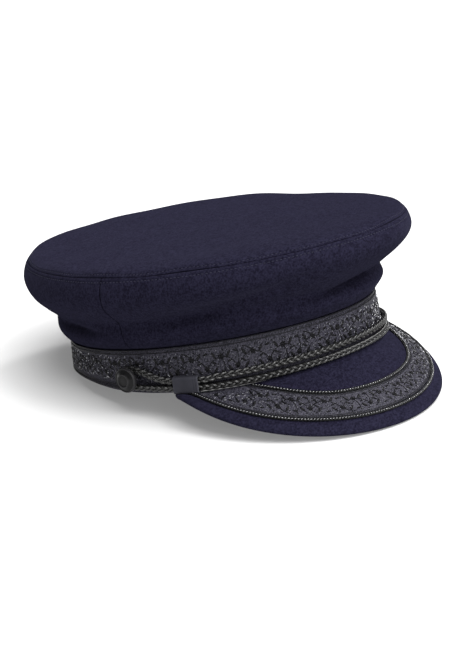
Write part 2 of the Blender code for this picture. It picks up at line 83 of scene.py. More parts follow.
# Crown: the columns are half length, half width, shift to the front, height over the ears, cosine and
# double-cosine lift, sag at the back, and twist, which lifts the quarters by turns
WOOL_THICKNESS = 2.0 * MM
CROWN_SAG_ANGLE = math.radians(189)
CROWN_ROWS_MM = {
    "foot":      (99.9, 85.7, 0.0, 24.2, 6.2, 0.0, 0.0, 0.0),
    "lip":       (104.2, 89.8, -0.4, 27.2, 6.0, 0.0, 0.0, 0.0),
    "roll":      (108.0, 93.2, -0.2, 33.4, 5.5, 0.2, 0.0, 0.0),
    "crease":    (107.8, 93.0, -1.2, 41.8, 5.0, 0.5, 0.2, 0.0),
    "belly":     (115.4, 99.0, -0.5, 48.0, 4.5, 0.8, 0.6, 0.0),
    "overhang":  (122.8, 105.2, 0.3, 54.3, 3.5, 1.2, 1.2, 0.2),
    "flank":     (127.3, 108.8, 2.0, 60.7, 2.6, 1.5, 1.9, 0.4),
    "edge":      (128.1, 109.3, 3.0, 67.6, 1.8, 1.7, 2.3, 0.6),
    "seam":      (124.5, 106.5, 3.6, 75.3, 1.2, 1.8, 2.8, 0.7),
    "shoulder":  (116.8, 99.2, 3.8, 78.7, 1.2, 1.4, 3.0, 0.8),
    "tip_outer": (88.0, 73.0, 3.8, 79.9, 1.2, 0.9, 2.1, 0.6),
    "tip_inner": (45.0, 37.0, 3.8, 80.3, 0.7, 0.4, 0.7, 0.3),
    "middle":    (0.0, 0.0, 3.8, 80.5, 0.0, 0.0, 0.0, 0.0),
}
CROWN = np.array(list(CROWN_ROWS_MM.values())) * MM
TOP_ROW = len(CROWN) - 1
SEAM_ROW = list(CROWN_ROWS_MM).index("seam")
PANEL_SEAM_ANGLE = math.radians(88.8)

# Folds: middle angle, reach to each side, height, climb for each degree, half height, depth (mm)
FOLD_ROWS = {
    "right_front": (49.0, 38.0, 52.6, -0.36, 5.2, 4.8),
    "front":       (-2.0, 32.0, 46.6, -0.09, 2.8, 2.4),
    "right_back":  (114.0, 27.0, 35.2, 0.06, 3.4, 3.0),
    "left_front":  (-48.0, 36.0, 51.0, 0.12, 4.6, 1.6),
    "back":        (190.0, 40.0, 44.0, 0.0, 4.6, 1.2),
}
# Finer creases that only the cloth shows, in the same columns; a negative depth is a ridge
CREASE_ROWS = {
    "front_sharp":    (2.0, 27.0, 46.2, -0.10, 1.3, 1.7),
    "front_lip":      (2.0, 26.0, 50.0, -0.10, 1.9, -0.9),
    "right_soft":     (58.0, 22.0, 45.5, -0.30, 2.2, 0.8),
    "right_upper":    (34.0, 18.0, 60.5, -0.42, 2.2, 0.9),
    "right_ridge":    (40.0, 26.0, 59.0, -0.20, 2.6, -0.5),
    "back_sharp":     (113.0, 20.0, 35.4, 0.02, 1.4, 1.6),
    "back_lip":       (110.0, 24.0, 39.6, 0.03, 2.2, -0.7),
    "left_sharp":     (-52.0, 26.0, 44.4, 0.05, 1.6, 1.0),
    "left_back_soft": (-112.0, 30.0, 36.6, -0.05, 2.6, 1.3),
    "back_soft":      (168.0, 26.0, 38.4, 0.04, 2.2, 0.9),
}
FOLDS_END = SEAM_ROW + 0.3    # in rows, and so is the stretch in which they fade
FOLDS_FADE = 0.8
WAVE_COUNT = 12
WAVE_HEIGHT = 0.16 * MM
WAVE_LENGTH = (34 * MM, 95 * MM)

# Seams: each edge of cloth turns in, and topstitches run on both sides of the seam round the tip
TURN_IN_RADIUS = 0.9 * MM
TURN_IN_STEPS = 4
EDGE_TO_SEAM = 6.6 * MM       # the length of cloth in the row on each side of the seam
SEAM_TO_SHOULDER = 9.4 * MM
TOPSTITCH = {"pitch": 2.4 * MM, "length": 1.3 * MM, "radius": 0.24 * MM}
TOPSTITCH_FROM_SEAM = 2.3 * MM
TOPSTITCH_DEPTH = 0.3 * MM
TOPSTITCH_HALF_WIDTH = 0.5 * MM
TOPSTITCH_SINK = 0.55         # as a share of the depth
SEAM_LINE_DEPTH = 0.62 * MM
SEAM_LINE_RADIUS = 0.42 * MM
FOOT_SEAM_RADIUS = 0.7 * MM
# The rows of points up the cloth, as first place, last place and count; they are close by the seam
SIDE_SPANS = ((0.0, SEAM_ROW - 0.66, 84), (SEAM_ROW - 0.6, SEAM_ROW - TURN_IN_RADIUS / EDGE_TO_SEAM, 14))
TIP_SPANS = (
    (SEAM_ROW + TURN_IN_RADIUS / SEAM_TO_SHOULDER, SEAM_ROW + 0.42, 14), (SEAM_ROW + 0.5, TOP_ROW - 0.04, 34)
)
SIDE_COLUMNS = 250
TIP_COLUMNS = 480
PANEL_SEAM_SPAN = (0.0, SEAM_ROW - 0.05, 90)
SEAM_LINE_SIDES = 6

# Peak
PEAK_THICKNESS = 3.0 * MM
PEAK_END_THICKNESS = 0.25     # as a share of the whole thickness
PEAK_TAPER = math.radians(4)  # it thins out this near to each end
PEAK_LEAST_WALL = 0.1 * MM
PEAK_END_ANGLE = math.radians(73)
PEAK_END_POWER = 12
PEAK_CUT = 0.995
PEAK_ARC_RADIUS = 97.5 * MM
PEAK_ARC_FORWARD = 41.0 * MM
PEAK_TIP_DROP = 35.2 * MM
PEAK_EDGE_BOW = 12.0 * MM
PEAK_CAMBER = 1.5 * MM
CAMBER_SCALE = 27 / 4
PEAK_FULL_CAMBER_WIDTH = 48.0 * MM
PEAK_JOINT_LOW = -2.7 * MM
PEAK_JOINT_RISE = 6.3 * MM
PEAK_COLUMNS = 260
PEAK_ROWS = 40
PEAK_ROW_POWER = 1.5          # the rows are closer by the edge
SPAN_SAMPLES = 8001
PEAK_TRIM_MARGIN = 10.4 * MM
PEAK_TRIM_WIDTH = 15.8 * MM
PEAK_TRIM_FLARE = 5.5 * MM    # it is this much wider at its ends
FLARE_START = math.radians(18)
FLARE_REACH = math.radians(30)
TRIM_FROM_BAND = 0.5 * MM     # the ribbon runs in under the cord
TRIM_LIFT = 0.7 * MM
TRIM_ARCH = 0.35 * MM
TRIM_UNDER_CORD = 0.4 * MM
TRIM_UNDERSIDE = 0.05 * MM
TRIM_COLUMNS = 320
TRIM_ROWS = 16
CORD_REACH = 5.0 * MM         # from the band to the outer side of the cord
PLAIT_END = 0.9 * MM          # the plaits on the peak end under the cord
PEAK_TRIM_END = 3.0 * MM

# Plaits of three strands, and small beads of glossy thread between those on the peak; the beads' pale colour
# is painted highlight
PLAIT_SWING = 0.56            # a strand's swing to each side, as a share of the plait's radius
PLAIT_DEPTH = 0.62            # its swing in and out, as a share of the other
STRAND_SWELL = 1.06
PEAK_BRAID_RADIUS = 1.0 * MM
PEAK_PLAIT_RADIUS = 1.1 * PEAK_BRAID_RADIUS
PEAK_PLAIT_LIFT = 0.95 * PEAK_BRAID_RADIUS
PEAK_PLAIT_SINK = 0.2 * PEAK_BRAID_RADIUS
PEAK_PLAIT_CYCLE = 6.6 * MM
PEAK_PLAIT_STEP = 0.36 * MM
PEAK_PLAIT_SAMPLES = 700
PEAK_PLAIT_SIDES = 6
BEADS = {"pitch": 1.9 * MM, "length": 1.1 * MM, "radius": 0.26 * MM}
BEAD_LIFT = 0.72 * MM
BEAD_SLANT = math.radians(32)

# Chin cord, keepers and buttons
CORD_RADIUS = 2.1 * MM
CORD_CYCLE = 13.2 * MM
CORD_STEP = 0.5 * MM
CORD_SIDES = 8
CORD_SAMPLES = 500
LOOP_SAMPLES = 40
CORD_FRONT_SPACING = 5.6 * MM
CORD_ABOVE_PEAK = 5.6 * MM
GATHER_START = 2.5
SPREAD_START = 1.3
KEEPER_ANGLE = math.radians(68)
KEEPER_LENGTH = 15.5 * MM
KEEPER_HALF_TURN = KEEPER_LENGTH / 2 / BAND_HALF_LENGTH
KEEPER_WALL = 0.5 * MM
KEEPER_HEIGHT = 4.2 * MM
KEEPER_ROUND_OFF = 1.2 * MM
KEEPER_EDGE = 0.2 * MM
KEEPER_LANES = 41
BUTTON_COLUMNS = 56
# The lapped end: grooves across the keeper, as place and reach along it and depth in its wall (shares)
KEEPER_GROOVES = ((0.62, 0.035, 0.18), (0.8, 0.03, 0.12))
BUTTON_ANGLE = math.radians(89.5)
BUTTON_HEIGHT = 7.8 * MM
BUTTON_LOOP_RADIUS = 5.4 * MM
BUTTON_SHANK_RADIUS = 3.0 * MM
BUTTON_HEAD_BASE = 5.2 * MM
SHANK_FLARE = 0.6 * MM
SHANK_FLARE_LENGTH = 0.8 * MM
BUTTON_PROFILE_MM = (
    (0.0, 4.25), (1.6, 4.2), (2.9, 4.05), (3.25, 4.1), (3.5, 4.45), (3.85, 4.62), (4.2, 4.5), (4.45, 4.15),
    (4.8, 3.85), (5.6, 3.35), (6.3, 2.95), (6.6, 2.8), (6.8, 3.0), (7.15, 3.0), (7.45, 2.7), (7.7, 2.0),
    (7.7, 1.2), (7.45, 0.6), (6.9, 0.1), (6.2, 0.0),
)

# The ribbon's figure: one repeat of a common scroll of leaves and rosettes, in millimetres along and
# across from its corner
RIBBON_WIDTH = 25.0 * MM
BORDER_WIDTH = 3.4 * MM
MOTIF_REPEAT = 37.6 * MM
MOTIF_WIDTH = 16.0 * MM
PEAK_PLAIN_EDGE = 1.3 * MM
FIGURE_SINK = -0.12 * MM      # each raised shape starts a little below the ribbon's face
# Leaves: along, across, turn in degrees, length, width
LEAVES_MM = (
    (9.4, 12.2, -56, 4.6, 1.8), (9.0, 4.4, 54, 4.4, 1.7), (17.8, 4.0, -52, 4.6, 1.7),
    (18.4, 12.2, 58, 4.8, 1.8), (27.6, 12.4, -60, 4.6, 1.8), (28.0, 4.2, 50, 4.4, 1.7),
    (36.6, 4.6, -54, 4.6, 1.7), (0.2, 12.0, 60, 4.8, 1.8), (5.0, 13.4, 14, 3.4, 1.2),
    (23.4, 13.2, -12, 3.4, 1.2), (13.4, 3.0, 8, 3.2, 1.2), (32.2, 2.8, -10, 3.2, 1.2),
    (0.4, 7.2, 30, 3.2, 1.2), (9.2, 8.2, -20, 3.0, 1.2), (18.4, 8.0, 26, 3.2, 1.2),
    (27.8, 8.2, -24, 3.0, 1.2),
)
# Stems: along and across at the start, at the bend and at the end
STEMS_MM = (
    (4.6, 4.8, 8.0, 10.8, 13.8, 11.2), (13.8, 11.2, 19.6, 10.6, 23.0, 5.0),
    (23.0, 5.0, 26.6, 10.8, 32.4, 11.2), (32.4, 11.2, 38.4, 10.6, 42.2, 4.8),
    (4.6, 4.8, 2.4, 10.0, 4.6, 14.6), (23.0, 5.0, 20.8, 1.8, 16.6, 1.2),
    (32.4, 11.2, 34.4, 14.4, 38.2, 14.9), (13.8, 11.2, 11.0, 5.4, 12.8, 0.9),
)
# Rosettes: along, across, petals, and a petal's length and width
ROSETTES_MM = (
    (4.6, 4.8, 5, 1.7, 1.3), (13.8, 11.2, 6, 1.8, 1.2), (23.0, 5.0, 6, 1.7, 1.2), (32.4, 11.2, 5, 1.8, 1.4),
)
# Dots: along, across, radius
DOTS_MM = (
    (1.6, 2.2, 0.55), (7.4, 1.6, 0.5), (12.6, 14.6, 0.55), (20.6, 14.8, 0.5), (22.4, 9.6, 0.55),
    (26.0, 1.6, 0.5), (30.6, 14.8, 0.55), (36.0, 8.6, 0.55), (5.4, 9.4, 0.55), (16.2, 7.2, 0.5),
)
LEAF_HEIGHT = 0.55 * MM
LEAF_POINTING = 0.45
STEM_RADIUS = 0.3 * MM
STEM_HEIGHT = 0.4 * MM
PETAL_HEIGHT = 0.9 * LEAF_HEIGHT
PETAL_FROM_MIDDLE = 0.2
ROSETTE_TURN = 0.3
ROSETTE_EYE = (0.7 * MM, 0.75 * MM)
DOT_HEIGHT = 0.5 * MM
# Short strokes of glossy satin thread lie between them, one in each cell of a grid; they are coloured pale
# as painted highlight
SATIN_GRID = (15, 6)
SATIN_PLACE = (0.15, 0.85)
SATIN_TURN = math.radians(78)
SATIN_LENGTH = (1.3 * MM, 2.7 * MM)
SATIN_WIDTH = 0.44 * MM
SATIN_HEIGHT = 0.42 * MM

# The ribbon's borders. On the band a line has the edge it goes by and how far from it; on the peak, its
# share across the ribbon and how far beyond. The hatch between has the way it slants as well.
BAND_BORDERS = (("top", 0.3 * MM), ("top", 2.5 * MM), ("foot", 1.1 * MM), ("foot", 3.4 * MM))
PEAK_BORDERS = ((0.0, 0.35 * MM), (1.0, -0.35 * MM), (0.0, 1.15 * MM), (1.0, -1.15 * MM))
BAND_HATCH = (("top", 1.55 * MM, 1), ("foot", 2.2 * MM, -1))
PEAK_HATCH = ((0.0, 0.8 * MM, 1), (1.0, -0.8 * MM, -1))
BAND_BORDER_RADIUS = 0.28 * MM
BAND_BORDER_LIFT = 0.12 * MM
PEAK_BORDER_RADIUS = 0.22 * MM
BORDER_UV = (0.8 * MM, 4 * MM)
HATCH = {"pitch": 1.9 * MM, "length": 1.7 * MM, "radius": 0.15 * MM}
HATCH_SLANT = math.radians(52)
BAND_HATCH_LIFT = 0.1 * MM
PEAK_HATCH_LIFT = 0.05 * MM
BORDER_SIDES = 6
LINE_SAMPLES = 720
PEAK_LINE_SAMPLES = 420
MAPPING_SAMPLES = 2001

# Camera, fitted to the photograph: sizes in pixels are in its 468 by 655 frame
PHOTO_WIDTH = 468
PHOTO_HEIGHT = 655
CAMERA_AROUND = math.radians(50.482)
CAMERA_ABOVE = math.radians(19.410)
CAMERA_ROLL = math.radians(-1.747)
CAMERA_DISTANCE = 1482.1 * MM
FOCAL_PIXELS = 2377.3
SEAT_PIXEL = (227.309, 348.622)
SENSOR = 36.0
VIEW_RIGHT = Vector((math.cos(CAMERA_AROUND), -math.sin(CAMERA_AROUND), 0.0))
VIEW_AWAY = Vector((math.sin(CAMERA_AROUND), math.cos(CAMERA_AROUND), 0.0))

# Lights: the way to each one, as shares to the view's right, away from the viewer and up, and then its
# width in degrees and its strength
SUNS = {
    "key":   (0.30, -0.24, 0.92, 70.0, 5.5),
    "front": (0.38, -0.88, 0.24, 50.0, 1.5),
    "core":  (0.40, -0.30, 0.86, 18.0, 1.0),
    "glint": (0.42, 0.60, 0.680, 10.0, 1.4),
}
WORLD_STRENGTH = 0.12
FLOOR_HALF = 6.0
FLOOR_SHADE = 0.52
FLOOR_GLOW = 0.20


# ---- the cap's formulas


def columns(*parts):
    return np.stack(np.broadcast_arrays(*parts), axis=-1)


def unit(vectors):
    return vectors / np.linalg.norm(vectors, axis=-1, keepdims=True)


def smooth_step(value):
    value = np.clip(value, 0.0, 1.0)
    return value * value * (3 - 2 * value)


def signed(angle):
    """The same angle between minus and plus half a turn."""
    return (angle + math.pi) % FULL_TURN - math.pi


def circle(count):
    """Even angles round a full turn."""
    return np.linspace(0, FULL_TURN, count, endpoint=False)


def slopes(points, cyclic):
    """How points change along their first axis."""
    if cyclic:
        return np.roll(points, -1, axis=0) - np.roll(points, 1, axis=0)
    return np.gradient(points, axis=0)


def grid_normals(points, cyclic):
    """Unit normals of a grid of points: the first axis goes round, the second up."""
    return unit(np.cross(np.gradient(points, axis=1), slopes(points, cyclic)) + TINY)


def rim_height(angle):
    turn = np.abs(signed(angle))
    front = np.maximum(0.0, np.cos(turn)) ** 2
    level = smooth_step((turn - math.pi / 2) / (RIM_DIP_END - math.pi / 2))
    return RIM_FRONT_RISE * front - RIM_DIP * (1 - level)


def band_top(angle):
    return BAND_TOP + BAND_TOP_FRONT_RISE * np.cos(angle)


def band_point(angle, outset, height):
    """Points beside the band: outset is measured out from the trim's outer face."""
    grown = outset - BAND_TAPER * np.maximum(0.0, height) / BAND_TOP
    return columns(
        -(BAND_HALF_WIDTH + grown) * np.sin(angle), -(BAND_HALF_LENGTH + grown) * np.cos(angle), height
    )


def band_normal(angle):
    return unit(columns(-np.sin(angle) / BAND_HALF_WIDTH, -np.cos(angle) / BAND_HALF_LENGTH, 0.0))


def crown_row(angle, ring):
    """Points of the crown's rows: ring is an array of row numbers."""
    length, width, forward, height, front, end, sag, twist = np.moveaxis(CROWN[ring], -1, 0)
    sunk = sag * np.maximum(0.0, np.cos(angle - CROWN_SAG_ANGLE)) ** 2
    rise = front * np.cos(angle) + end * np.cos(2 * angle) + twist * np.sin(2 * angle) - sunk
    return columns(-width * np.sin(angle), -forward - length * np.cos(angle), height + rise)


def fold_depth(angle, height, rows):
    depth = 0.0
    for middle, reach, level, climb, half_height, deep in rows.values():
        turn = np.degrees(signed(angle - math.radians(middle)))
        along = np.where(np.abs(turn) < reach, np.cos(math.pi / 2 * turn / reach) ** 2, 0.0)
        across = np.exp(-(((height / MM - level - climb * turn) / half_height) ** 2))
        depth = depth + deep * MM * along * across
    return depth


def wave_height(points):
    """Slow unevenness of the cloth: a few waves that cross it in all directions."""
    draws = np.random.default_rng(SEED)
    total = 0.0
    for _ in range(WAVE_COUNT):
        heading = unit(draws.normal(size=3))
        length, phase = draws.uniform(*WAVE_LENGTH), draws.uniform(0, FULL_TURN)
        total = total + np.sin(points @ heading * FULL_TURN / length + phase)
    return WAVE_HEIGHT * total


def crown_point(angle, place):
    """The crown's outer face with all its folds; place runs up the rows, 1 for each."""
    ring = np.minimum(place.astype(int), TOP_ROW - 1)
    t = (place - ring)[..., None]
    before, start, end, after = (
        crown_row(angle, np.clip(ring + step, 0, TOP_ROW)) for step in (-1, 0, 1, 2)
    )
    smooth = 0.5 * (
        2 * start
        + (end - before) * t
        + (2 * before - 5 * start + 4 * end - after) * t**2
        + (3 * start - before - 3 * end + after) * t**3
    )
    height = smooth[..., 2]
    from_foot = np.clip(place, 0.0, 1.0)
    folds = fold_depth(angle, height, FOLD_ROWS) + fold_depth(angle, height, CREASE_ROWS)
    on_side = smooth_step((FOLDS_END - place) / FOLDS_FADE)
    waves = wave_height(smooth) * from_foot
    pushed = band_normal(angle) * ((waves - folds) * from_foot * on_side)[..., None]
    return smooth + pushed + UP * (waves * (1 - on_side))[..., None]


def peak_joint(angle):
    return PEAK_JOINT_LOW + PEAK_JOINT_RISE * np.cos(angle) ** 2


def peak_edge(angle):
    """The peak's outer edge beyond each angle of the band."""
    start = band_point(angle, GAP, 0.0)
    out = band_normal(angle)
    from_centre = start + np.array((0.0, PEAK_ARC_FORWARD, 0.0))
    along = np.sum(from_centre * out, axis=-1)
    reach = -along + np.sqrt(along**2 - np.sum(from_centre**2, axis=-1) + PEAK_ARC_RADIUS**2)
    fade = np.sqrt(np.maximum(0.0, 1.0 - (np.abs(angle) / PEAK_END_ANGLE) ** PEAK_END_POWER))
    place = start + out * (reach * fade)[..., None]
    share = np.maximum(0.0, (-place[..., 1] - PEAK_ARC_FORWARD) / PEAK_ARC_RADIUS)
    drop = PEAK_TIP_DROP * share + PEAK_EDGE_BOW * share * (1 - share)
    place[..., 2] = peak_joint(angle) * (1 - fade) - drop * fade
    return place


def peak_root(angle):
    """Where the peak leaves the band, and the way from there to its edge."""
    root = band_point(angle, GAP, 0.0)
    root[..., 2] = peak_joint(angle)
    return root, peak_edge(angle) - root


def peak_width(angle):
    return np.linalg.norm(peak_root(angle)[1], axis=-1)


def peak_point(angle, share):
    """The peak's top face, share of the way from the band to the edge."""
    angle, share = np.broadcast_arrays(angle, share)
    root, across = peak_root(angle)
    reach = np.minimum(1.0, np.linalg.norm(across, axis=-1) / PEAK_FULL_CAMBER_WIDTH)
    place = root + across * share[..., None]
    place[..., 2] += PEAK_CAMBER * reach * CAMBER_SCALE * share**2 * (1 - share)
    return place


def peak_normal(angle, share):
    step = 0.004
    low, high = np.maximum(share - step, 0.0), np.minimum(share + step, 1.0)
    along = peak_point(angle + step, share) - peak_point(angle - step, share)
    across = peak_point(angle, high) - peak_point(angle, low)
    normal = unit(np.cross(across, along) + TINY)
    return normal * np.where(normal[..., 2:] > 0, 1.0, -1.0)


def trim_width(angle):
    """The ribbon on the peak is widest at its ends, where it runs in under the cord."""
    return PEAK_TRIM_WIDTH + PEAK_TRIM_FLARE * smooth_step((np.abs(angle) - FLARE_START) / FLARE_REACH)


def trim_margin(angle, across, beyond=0.0):
    """How far in from the peak's edge a line lies, by its share across the ribbon and how far beyond."""
    return PEAK_TRIM_MARGIN + across * trim_width(angle) + beyond


def peak_span(across, beyond, from_band, count):
    """Angles from the first to the last where such a line is clear of the band."""
    angles = np.linspace(-PEAK_END_ANGLE, PEAK_END_ANGLE, SPAN_SAMPLES)
    clear = angles[peak_width(angles) - trim_margin(angles, across, beyond) > from_band]
    return np.linspace(clear.min(), clear.max(), count)


def peak_share(angle, margin):
    width = peak_width(angle)
    return np.maximum(width - margin, TRIM_FROM_BAND) / width


def on_peak(angle, margin, lift):
    """Points over the peak, margin in from its edge and lift above its face."""
    share = peak_share(angle, margin)
    return peak_point(angle, share) + peak_normal(angle, share) * np.asarray(lift)[..., None]


def clear_of_cord(angle, margin, end=0.0):
    """0 where the cord lies over the peak and 1 well in front of it."""
    return smooth_step((peak_width(angle) - margin - end) / CORD_REACH)


def ribbon_lift(angle, margin):
    """The height of the ribbon's face above the peak: arched, and pressed flat under the cord."""
    across = (margin - PEAK_TRIM_MARGIN) / trim_width(angle)
    arch = np.sqrt(np.clip(1 - (2 * across - 1) ** 2, 0, 1))
    free = clear_of_cord(angle, margin, CORD_REACH)
    return TRIM_UNDER_CORD + (TRIM_LIFT + TRIM_ARCH * arch - TRIM_UNDER_CORD) * free


def to_keeper(angle):
    start = KEEPER_ANGLE - KEEPER_HALF_TURN * GATHER_START
    return smooth_step((np.abs(angle) - start) / KEEPER_HALF_TURN)


def to_button(angle):
    start = KEEPER_ANGLE + KEEPER_HALF_TURN * SPREAD_START
    return smooth_step((np.abs(angle) - start) / (BUTTON_ANGLE - start))


def cord_middle(angle):
    front = peak_joint(angle) + CORD_ABOVE_PEAK
    from_front = front * (1 - to_keeper(angle)) + KEEPER_HEIGHT * to_keeper(angle)
    return from_front + (BUTTON_HEIGHT - KEEPER_HEIGHT) * to_button(angle)


def cord_half_spacing(angle):
    front, in_keeper = CORD_FRONT_SPACING / 2, CORD_RADIUS + GAP / 2
    from_front = front + (in_keeper - front) * to_keeper(angle)
    return from_front + (BUTTON_LOOP_RADIUS - in_keeper) * to_button(angle)


def cord_point(angle, height):
    lift = (KEEPER_WALL + GAP) * (to_keeper(angle) - to_button(angle))
    return band_point(angle, GAP + CORD_RADIUS + lift, height)


# ---- materials


class Recipe:
    """A Principled material and short calls for the nodes that feed it."""

    def __init__(self, name, colour, roughness, **sockets):
        self.material = bpy.data.materials.new(name)
        self.material.use_nodes = True
        self.material.diffuse_color = (*colour, 1.0)
        self.tree = self.material.node_tree
        self.shader = self.tree.nodes["Principled BSDF"]
        sockets |= {"Base_Color": (*colour, 1.0), "Roughness": roughness}
        for socket, value in sockets.items():
            self.shader.inputs[socket.replace("_", " ")].default_value = value
        self.coordinates = self.tree.nodes.new("ShaderNodeTexCoord")

    def node(self, kind, links, **settings):
        made = self.tree.nodes.new("ShaderNode" + kind)
        for key, value in settings.items():
            setattr(made, key, value)
        for socket, source in links.items():
            if isinstance(source, (int, float, tuple)):
                made.inputs[socket].default_value = source
            else:
                self.tree.links.new(source, made.inputs[socket])
        return made

    def noise(self, scale, detail=3.0, roughness=0.5, stretch=None):
        source = self.coordinates.outputs["Object"]
        if stretch:
            source = self.node("Mapping", {"Vector": source, "Scale": stretch}).outputs["Vector"]
        links = {"Vector": source, "Scale": scale, "Detail": detail, "Roughness": roughness}
        return self.node("TexNoise", links).outputs["Fac"]

    def ribs(self, pitch, turn=0.0, distortion=0.0):
        """Stripes across the ribbon's length, or turned by an angle: 0 to 1."""
        links = {"Vector": self.coordinates.outputs["UV"], "Rotation": (0.0, 0.0, turn)}
        turned = self.node("Mapping", links).outputs["Vector"]
        scale = FULL_TURN / pitch / 20  # at a scale of one, a wave texture repeats in a 20th of this turn
        links = {"Vector": turned, "Scale": scale, "Distortion": distortion}
        return self.node("TexWave", links).outputs["Fac"]

    def math(self, operation, a, b):
        return self.node("Math", {0: a, 1: b}, operation=operation).outputs[0]

    def weighted(self, first, *others):
        """The sum of sources, each times its weight."""
        total = self.math("MULTIPLY", *first)
        for other in others:
            total = self.math("ADD", total, self.math("MULTIPLY", *other))
        return total

    def spread(self, value, low, high, new_low=0.0, new_high=1.0):
        links = {0: value, 1: low, 2: high, 3: new_low, 4: new_high}
        return self.node("MapRange", links).outputs[0]

    def blend(self, share, *colours):
        first, second = ((*c, 1.0) if isinstance(c, tuple) else c for c in colours)
        return self.node("Mix", {0: share, 6: first, 7: second}, data_type="RGBA").outputs[2]

    def paler_on_edges(self, sharpest, share):
        """How much paler the sharp edges are coloured: up to share of the way on the sharpest."""
        edge = self.node("NewGeometry", {}).outputs["Pointiness"]
        return self.spread(edge, 0.5, sharpest, 0.0, share)

    def finish(self, share, dark, light, height, strength, distance, roughness=None):
        """Feeds the colour, the bump and, if given as a noise and two limits, the roughness."""
        links = {"Height": height, "Strength": strength, "Distance": distance}
        feeds = {
            "Base Color": self.blend(share, dark, light),
            "Normal": self.node("Bump", links).outputs["Normal"],
        }
        if roughness:
            uneven, low, high = roughness
            feeds["Roughness"] = self.spread(uneven, 0.3, 0.7, low, high)
        for socket, source in feeds.items():
            self.tree.links.new(source, self.shader.inputs[socket])
        return self.material


def shaded(colour, shade):
    return tuple(shade * value for value in colour)


def wool_material(name="navy_wool", shade=1.0):
    """Melton wool: a felted, slightly cloudy navy with a short pale nap."""
    dark, light = shaded((0.0054, 0.0049, 0.0104), shade), shaded((0.0142, 0.0134, 0.0266), shade)
    wool = Recipe(name, light, 0.95, Sheen_Weight=0.03, Sheen_Roughness=0.5,
                  Sheen_Tint=(0.55, 0.55, 0.85, 1.0), Specular_IOR_Level=0.0)
    grain = wool.noise(scale=950.0, detail=4.0, roughness=0.65)
    fibres = wool.noise(scale=460.0, detail=5.0, roughness=0.75, stretch=(1.0, 1.8, 1.0))
    clouds = wool.noise(scale=260.0, roughness=0.6)
    mixed = wool.weighted((grain, 0.46), (fibres, 0.38), (clouds, 0.16))
    height = wool.math("ADD", grain, fibres)
    return wool.finish(wool.spread(mixed, 0.43, 0.57), dark, light, height, 0.3, 0.5 * MM)


def ribbon_material():
    """The trim's ground: a grey satin with fine upright ribs and a finer slanted twill."""
    ground = Recipe("ribbon_ground", (0.035, 0.034, 0.044), 0.5, Specular_IOR_Level=0.06)
    ribs = ground.ribs(0.95 * MM)
    twill = ground.ribs(0.62 * MM, math.radians(58), distortion=2.0)
    speckle = ground.noise(scale=1150.0, roughness=0.7)
    patches = ground.noise(scale=190.0, detail=2.0)
    weave = ground.weighted((ribs, 0.4), (twill, 0.6))
    tone = ground.weighted((weave, 0.16), (speckle, 0.74), (patches, 0.1))
    dark, light = (0.004, 0.004, 0.006), (0.056, 0.054, 0.071)
    return ground.finish(
        ground.spread(tone, 0.42, 0.58), dark, light, weave, 0.7, 0.25 * MM, (speckle, 0.38, 0.62)
    )


def thread_material(name, colour, roughness, pitch, turn=0.0, bump=0.5, gloss=0.3, ior=1.5):
    """Glossy thread: fine lines along or across the piece, with a little unevenness."""
    thread = Recipe(name, colour, roughness, Specular_IOR_Level=gloss, IOR=ior)
    lines = thread.ribs(pitch, turn)
    uneven = thread.noise(scale=1400.0)
    share = thread.spread(thread.weighted((lines, 0.6), (uneven, 0.4)), 0.25, 0.75)
    dark, light = shaded(colour, 0.5), shaded(colour, 2.4)
    rough = (uneven, roughness - 0.08, roughness + 0.12)
    return thread.finish(share, dark, light, lines, bump, 0.15 * MM, rough)


def hide_material():
    """Smooth slate hide with faint grain, coloured paler on its sharp edges."""
    hide = Recipe("slate_hide", (0.02, 0.02, 0.027), 0.5, Specular_IOR_Level=0.08)
    grain = hide.noise(scale=900.0, detail=4.0, roughness=0.6)
    patches = hide.spread(hide.noise(scale=140.0), 0.3, 0.7)
    base = hide.blend(patches, (0.012, 0.012, 0.016), (0.019, 0.019, 0.025))
    edges = (0.070, 0.070, 0.085)
    return hide.finish(hide.paler_on_edges(0.56, 0.7), base, edges, grain, 0.25, 0.12 * MM, (grain, 0.42, 0.6))


def button_material():
    """Dark moulded button, coloured paler on its sharp rings."""
    moulded = Recipe("button_black", (0.008, 0.0078, 0.0085), 0.3, Specular_IOR_Level=0.16)
    scuffs = moulded.noise(scale=700.0, detail=5.0, roughness=0.7)
    base, rings = (0.005, 0.0049, 0.0054), (0.032, 0.031, 0.034)
    return moulded.finish(moulded.paler_on_edges(0.58, 0.8), base, rings, scuffs, 0.15, 0.1 * MM, (scuffs, 0.25, 0.45))


# ---- meshes


def add_object(name, data):
    made = bpy.data.objects.new(name, data)
    bpy.context.scene.collection.objects.link(made)
    return made


def add_piece(name, parts, material, replaces=(), flat_angle=60):
    points, faces, corner_uv = parts
    mesh = bpy.data.meshes.new(name)
    mesh.from_pydata((points @ CAP_TURN.T + CAP_PLACE).tolist(), [], faces)
    if corner_uv is not None:
        layer = mesh.uv_layers.new(name="UVMap")
        layer.data.foreach_set("uv", corner_uv.astype(np.float32).ravel())
    shape = bmesh.new()
    shape.from_mesh(mesh)
    bmesh.ops.recalc_face_normals(shape, faces=shape.faces)
    shape.to_mesh(mesh)
    shape.free()
    mesh.shade_smooth()
    mesh.set_sharp_from_angle(angle=math.radians(flat_angle))
    mesh.materials.append(material)
    piece = add_object(name, mesh)
    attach(piece, "root")
    if replaces:
        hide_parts(*replaces)


def cells(count, width):
    """The corners of each cell of a grid, as places along and across."""
    along, across = np.indices((count, width)).reshape(2, -1, 1)
    return along + (0, 0, 1, 1), across + (0, 1, 1, 0)


def quads(count, width, cyclic=False, open_side=False):
    """Faces that join sections of points to the next; each section closes unless it is open_side."""
    along, across = cells(count if cyclic else count - 1, width - open_side)
    return (along % count * width + across % width).tolist()


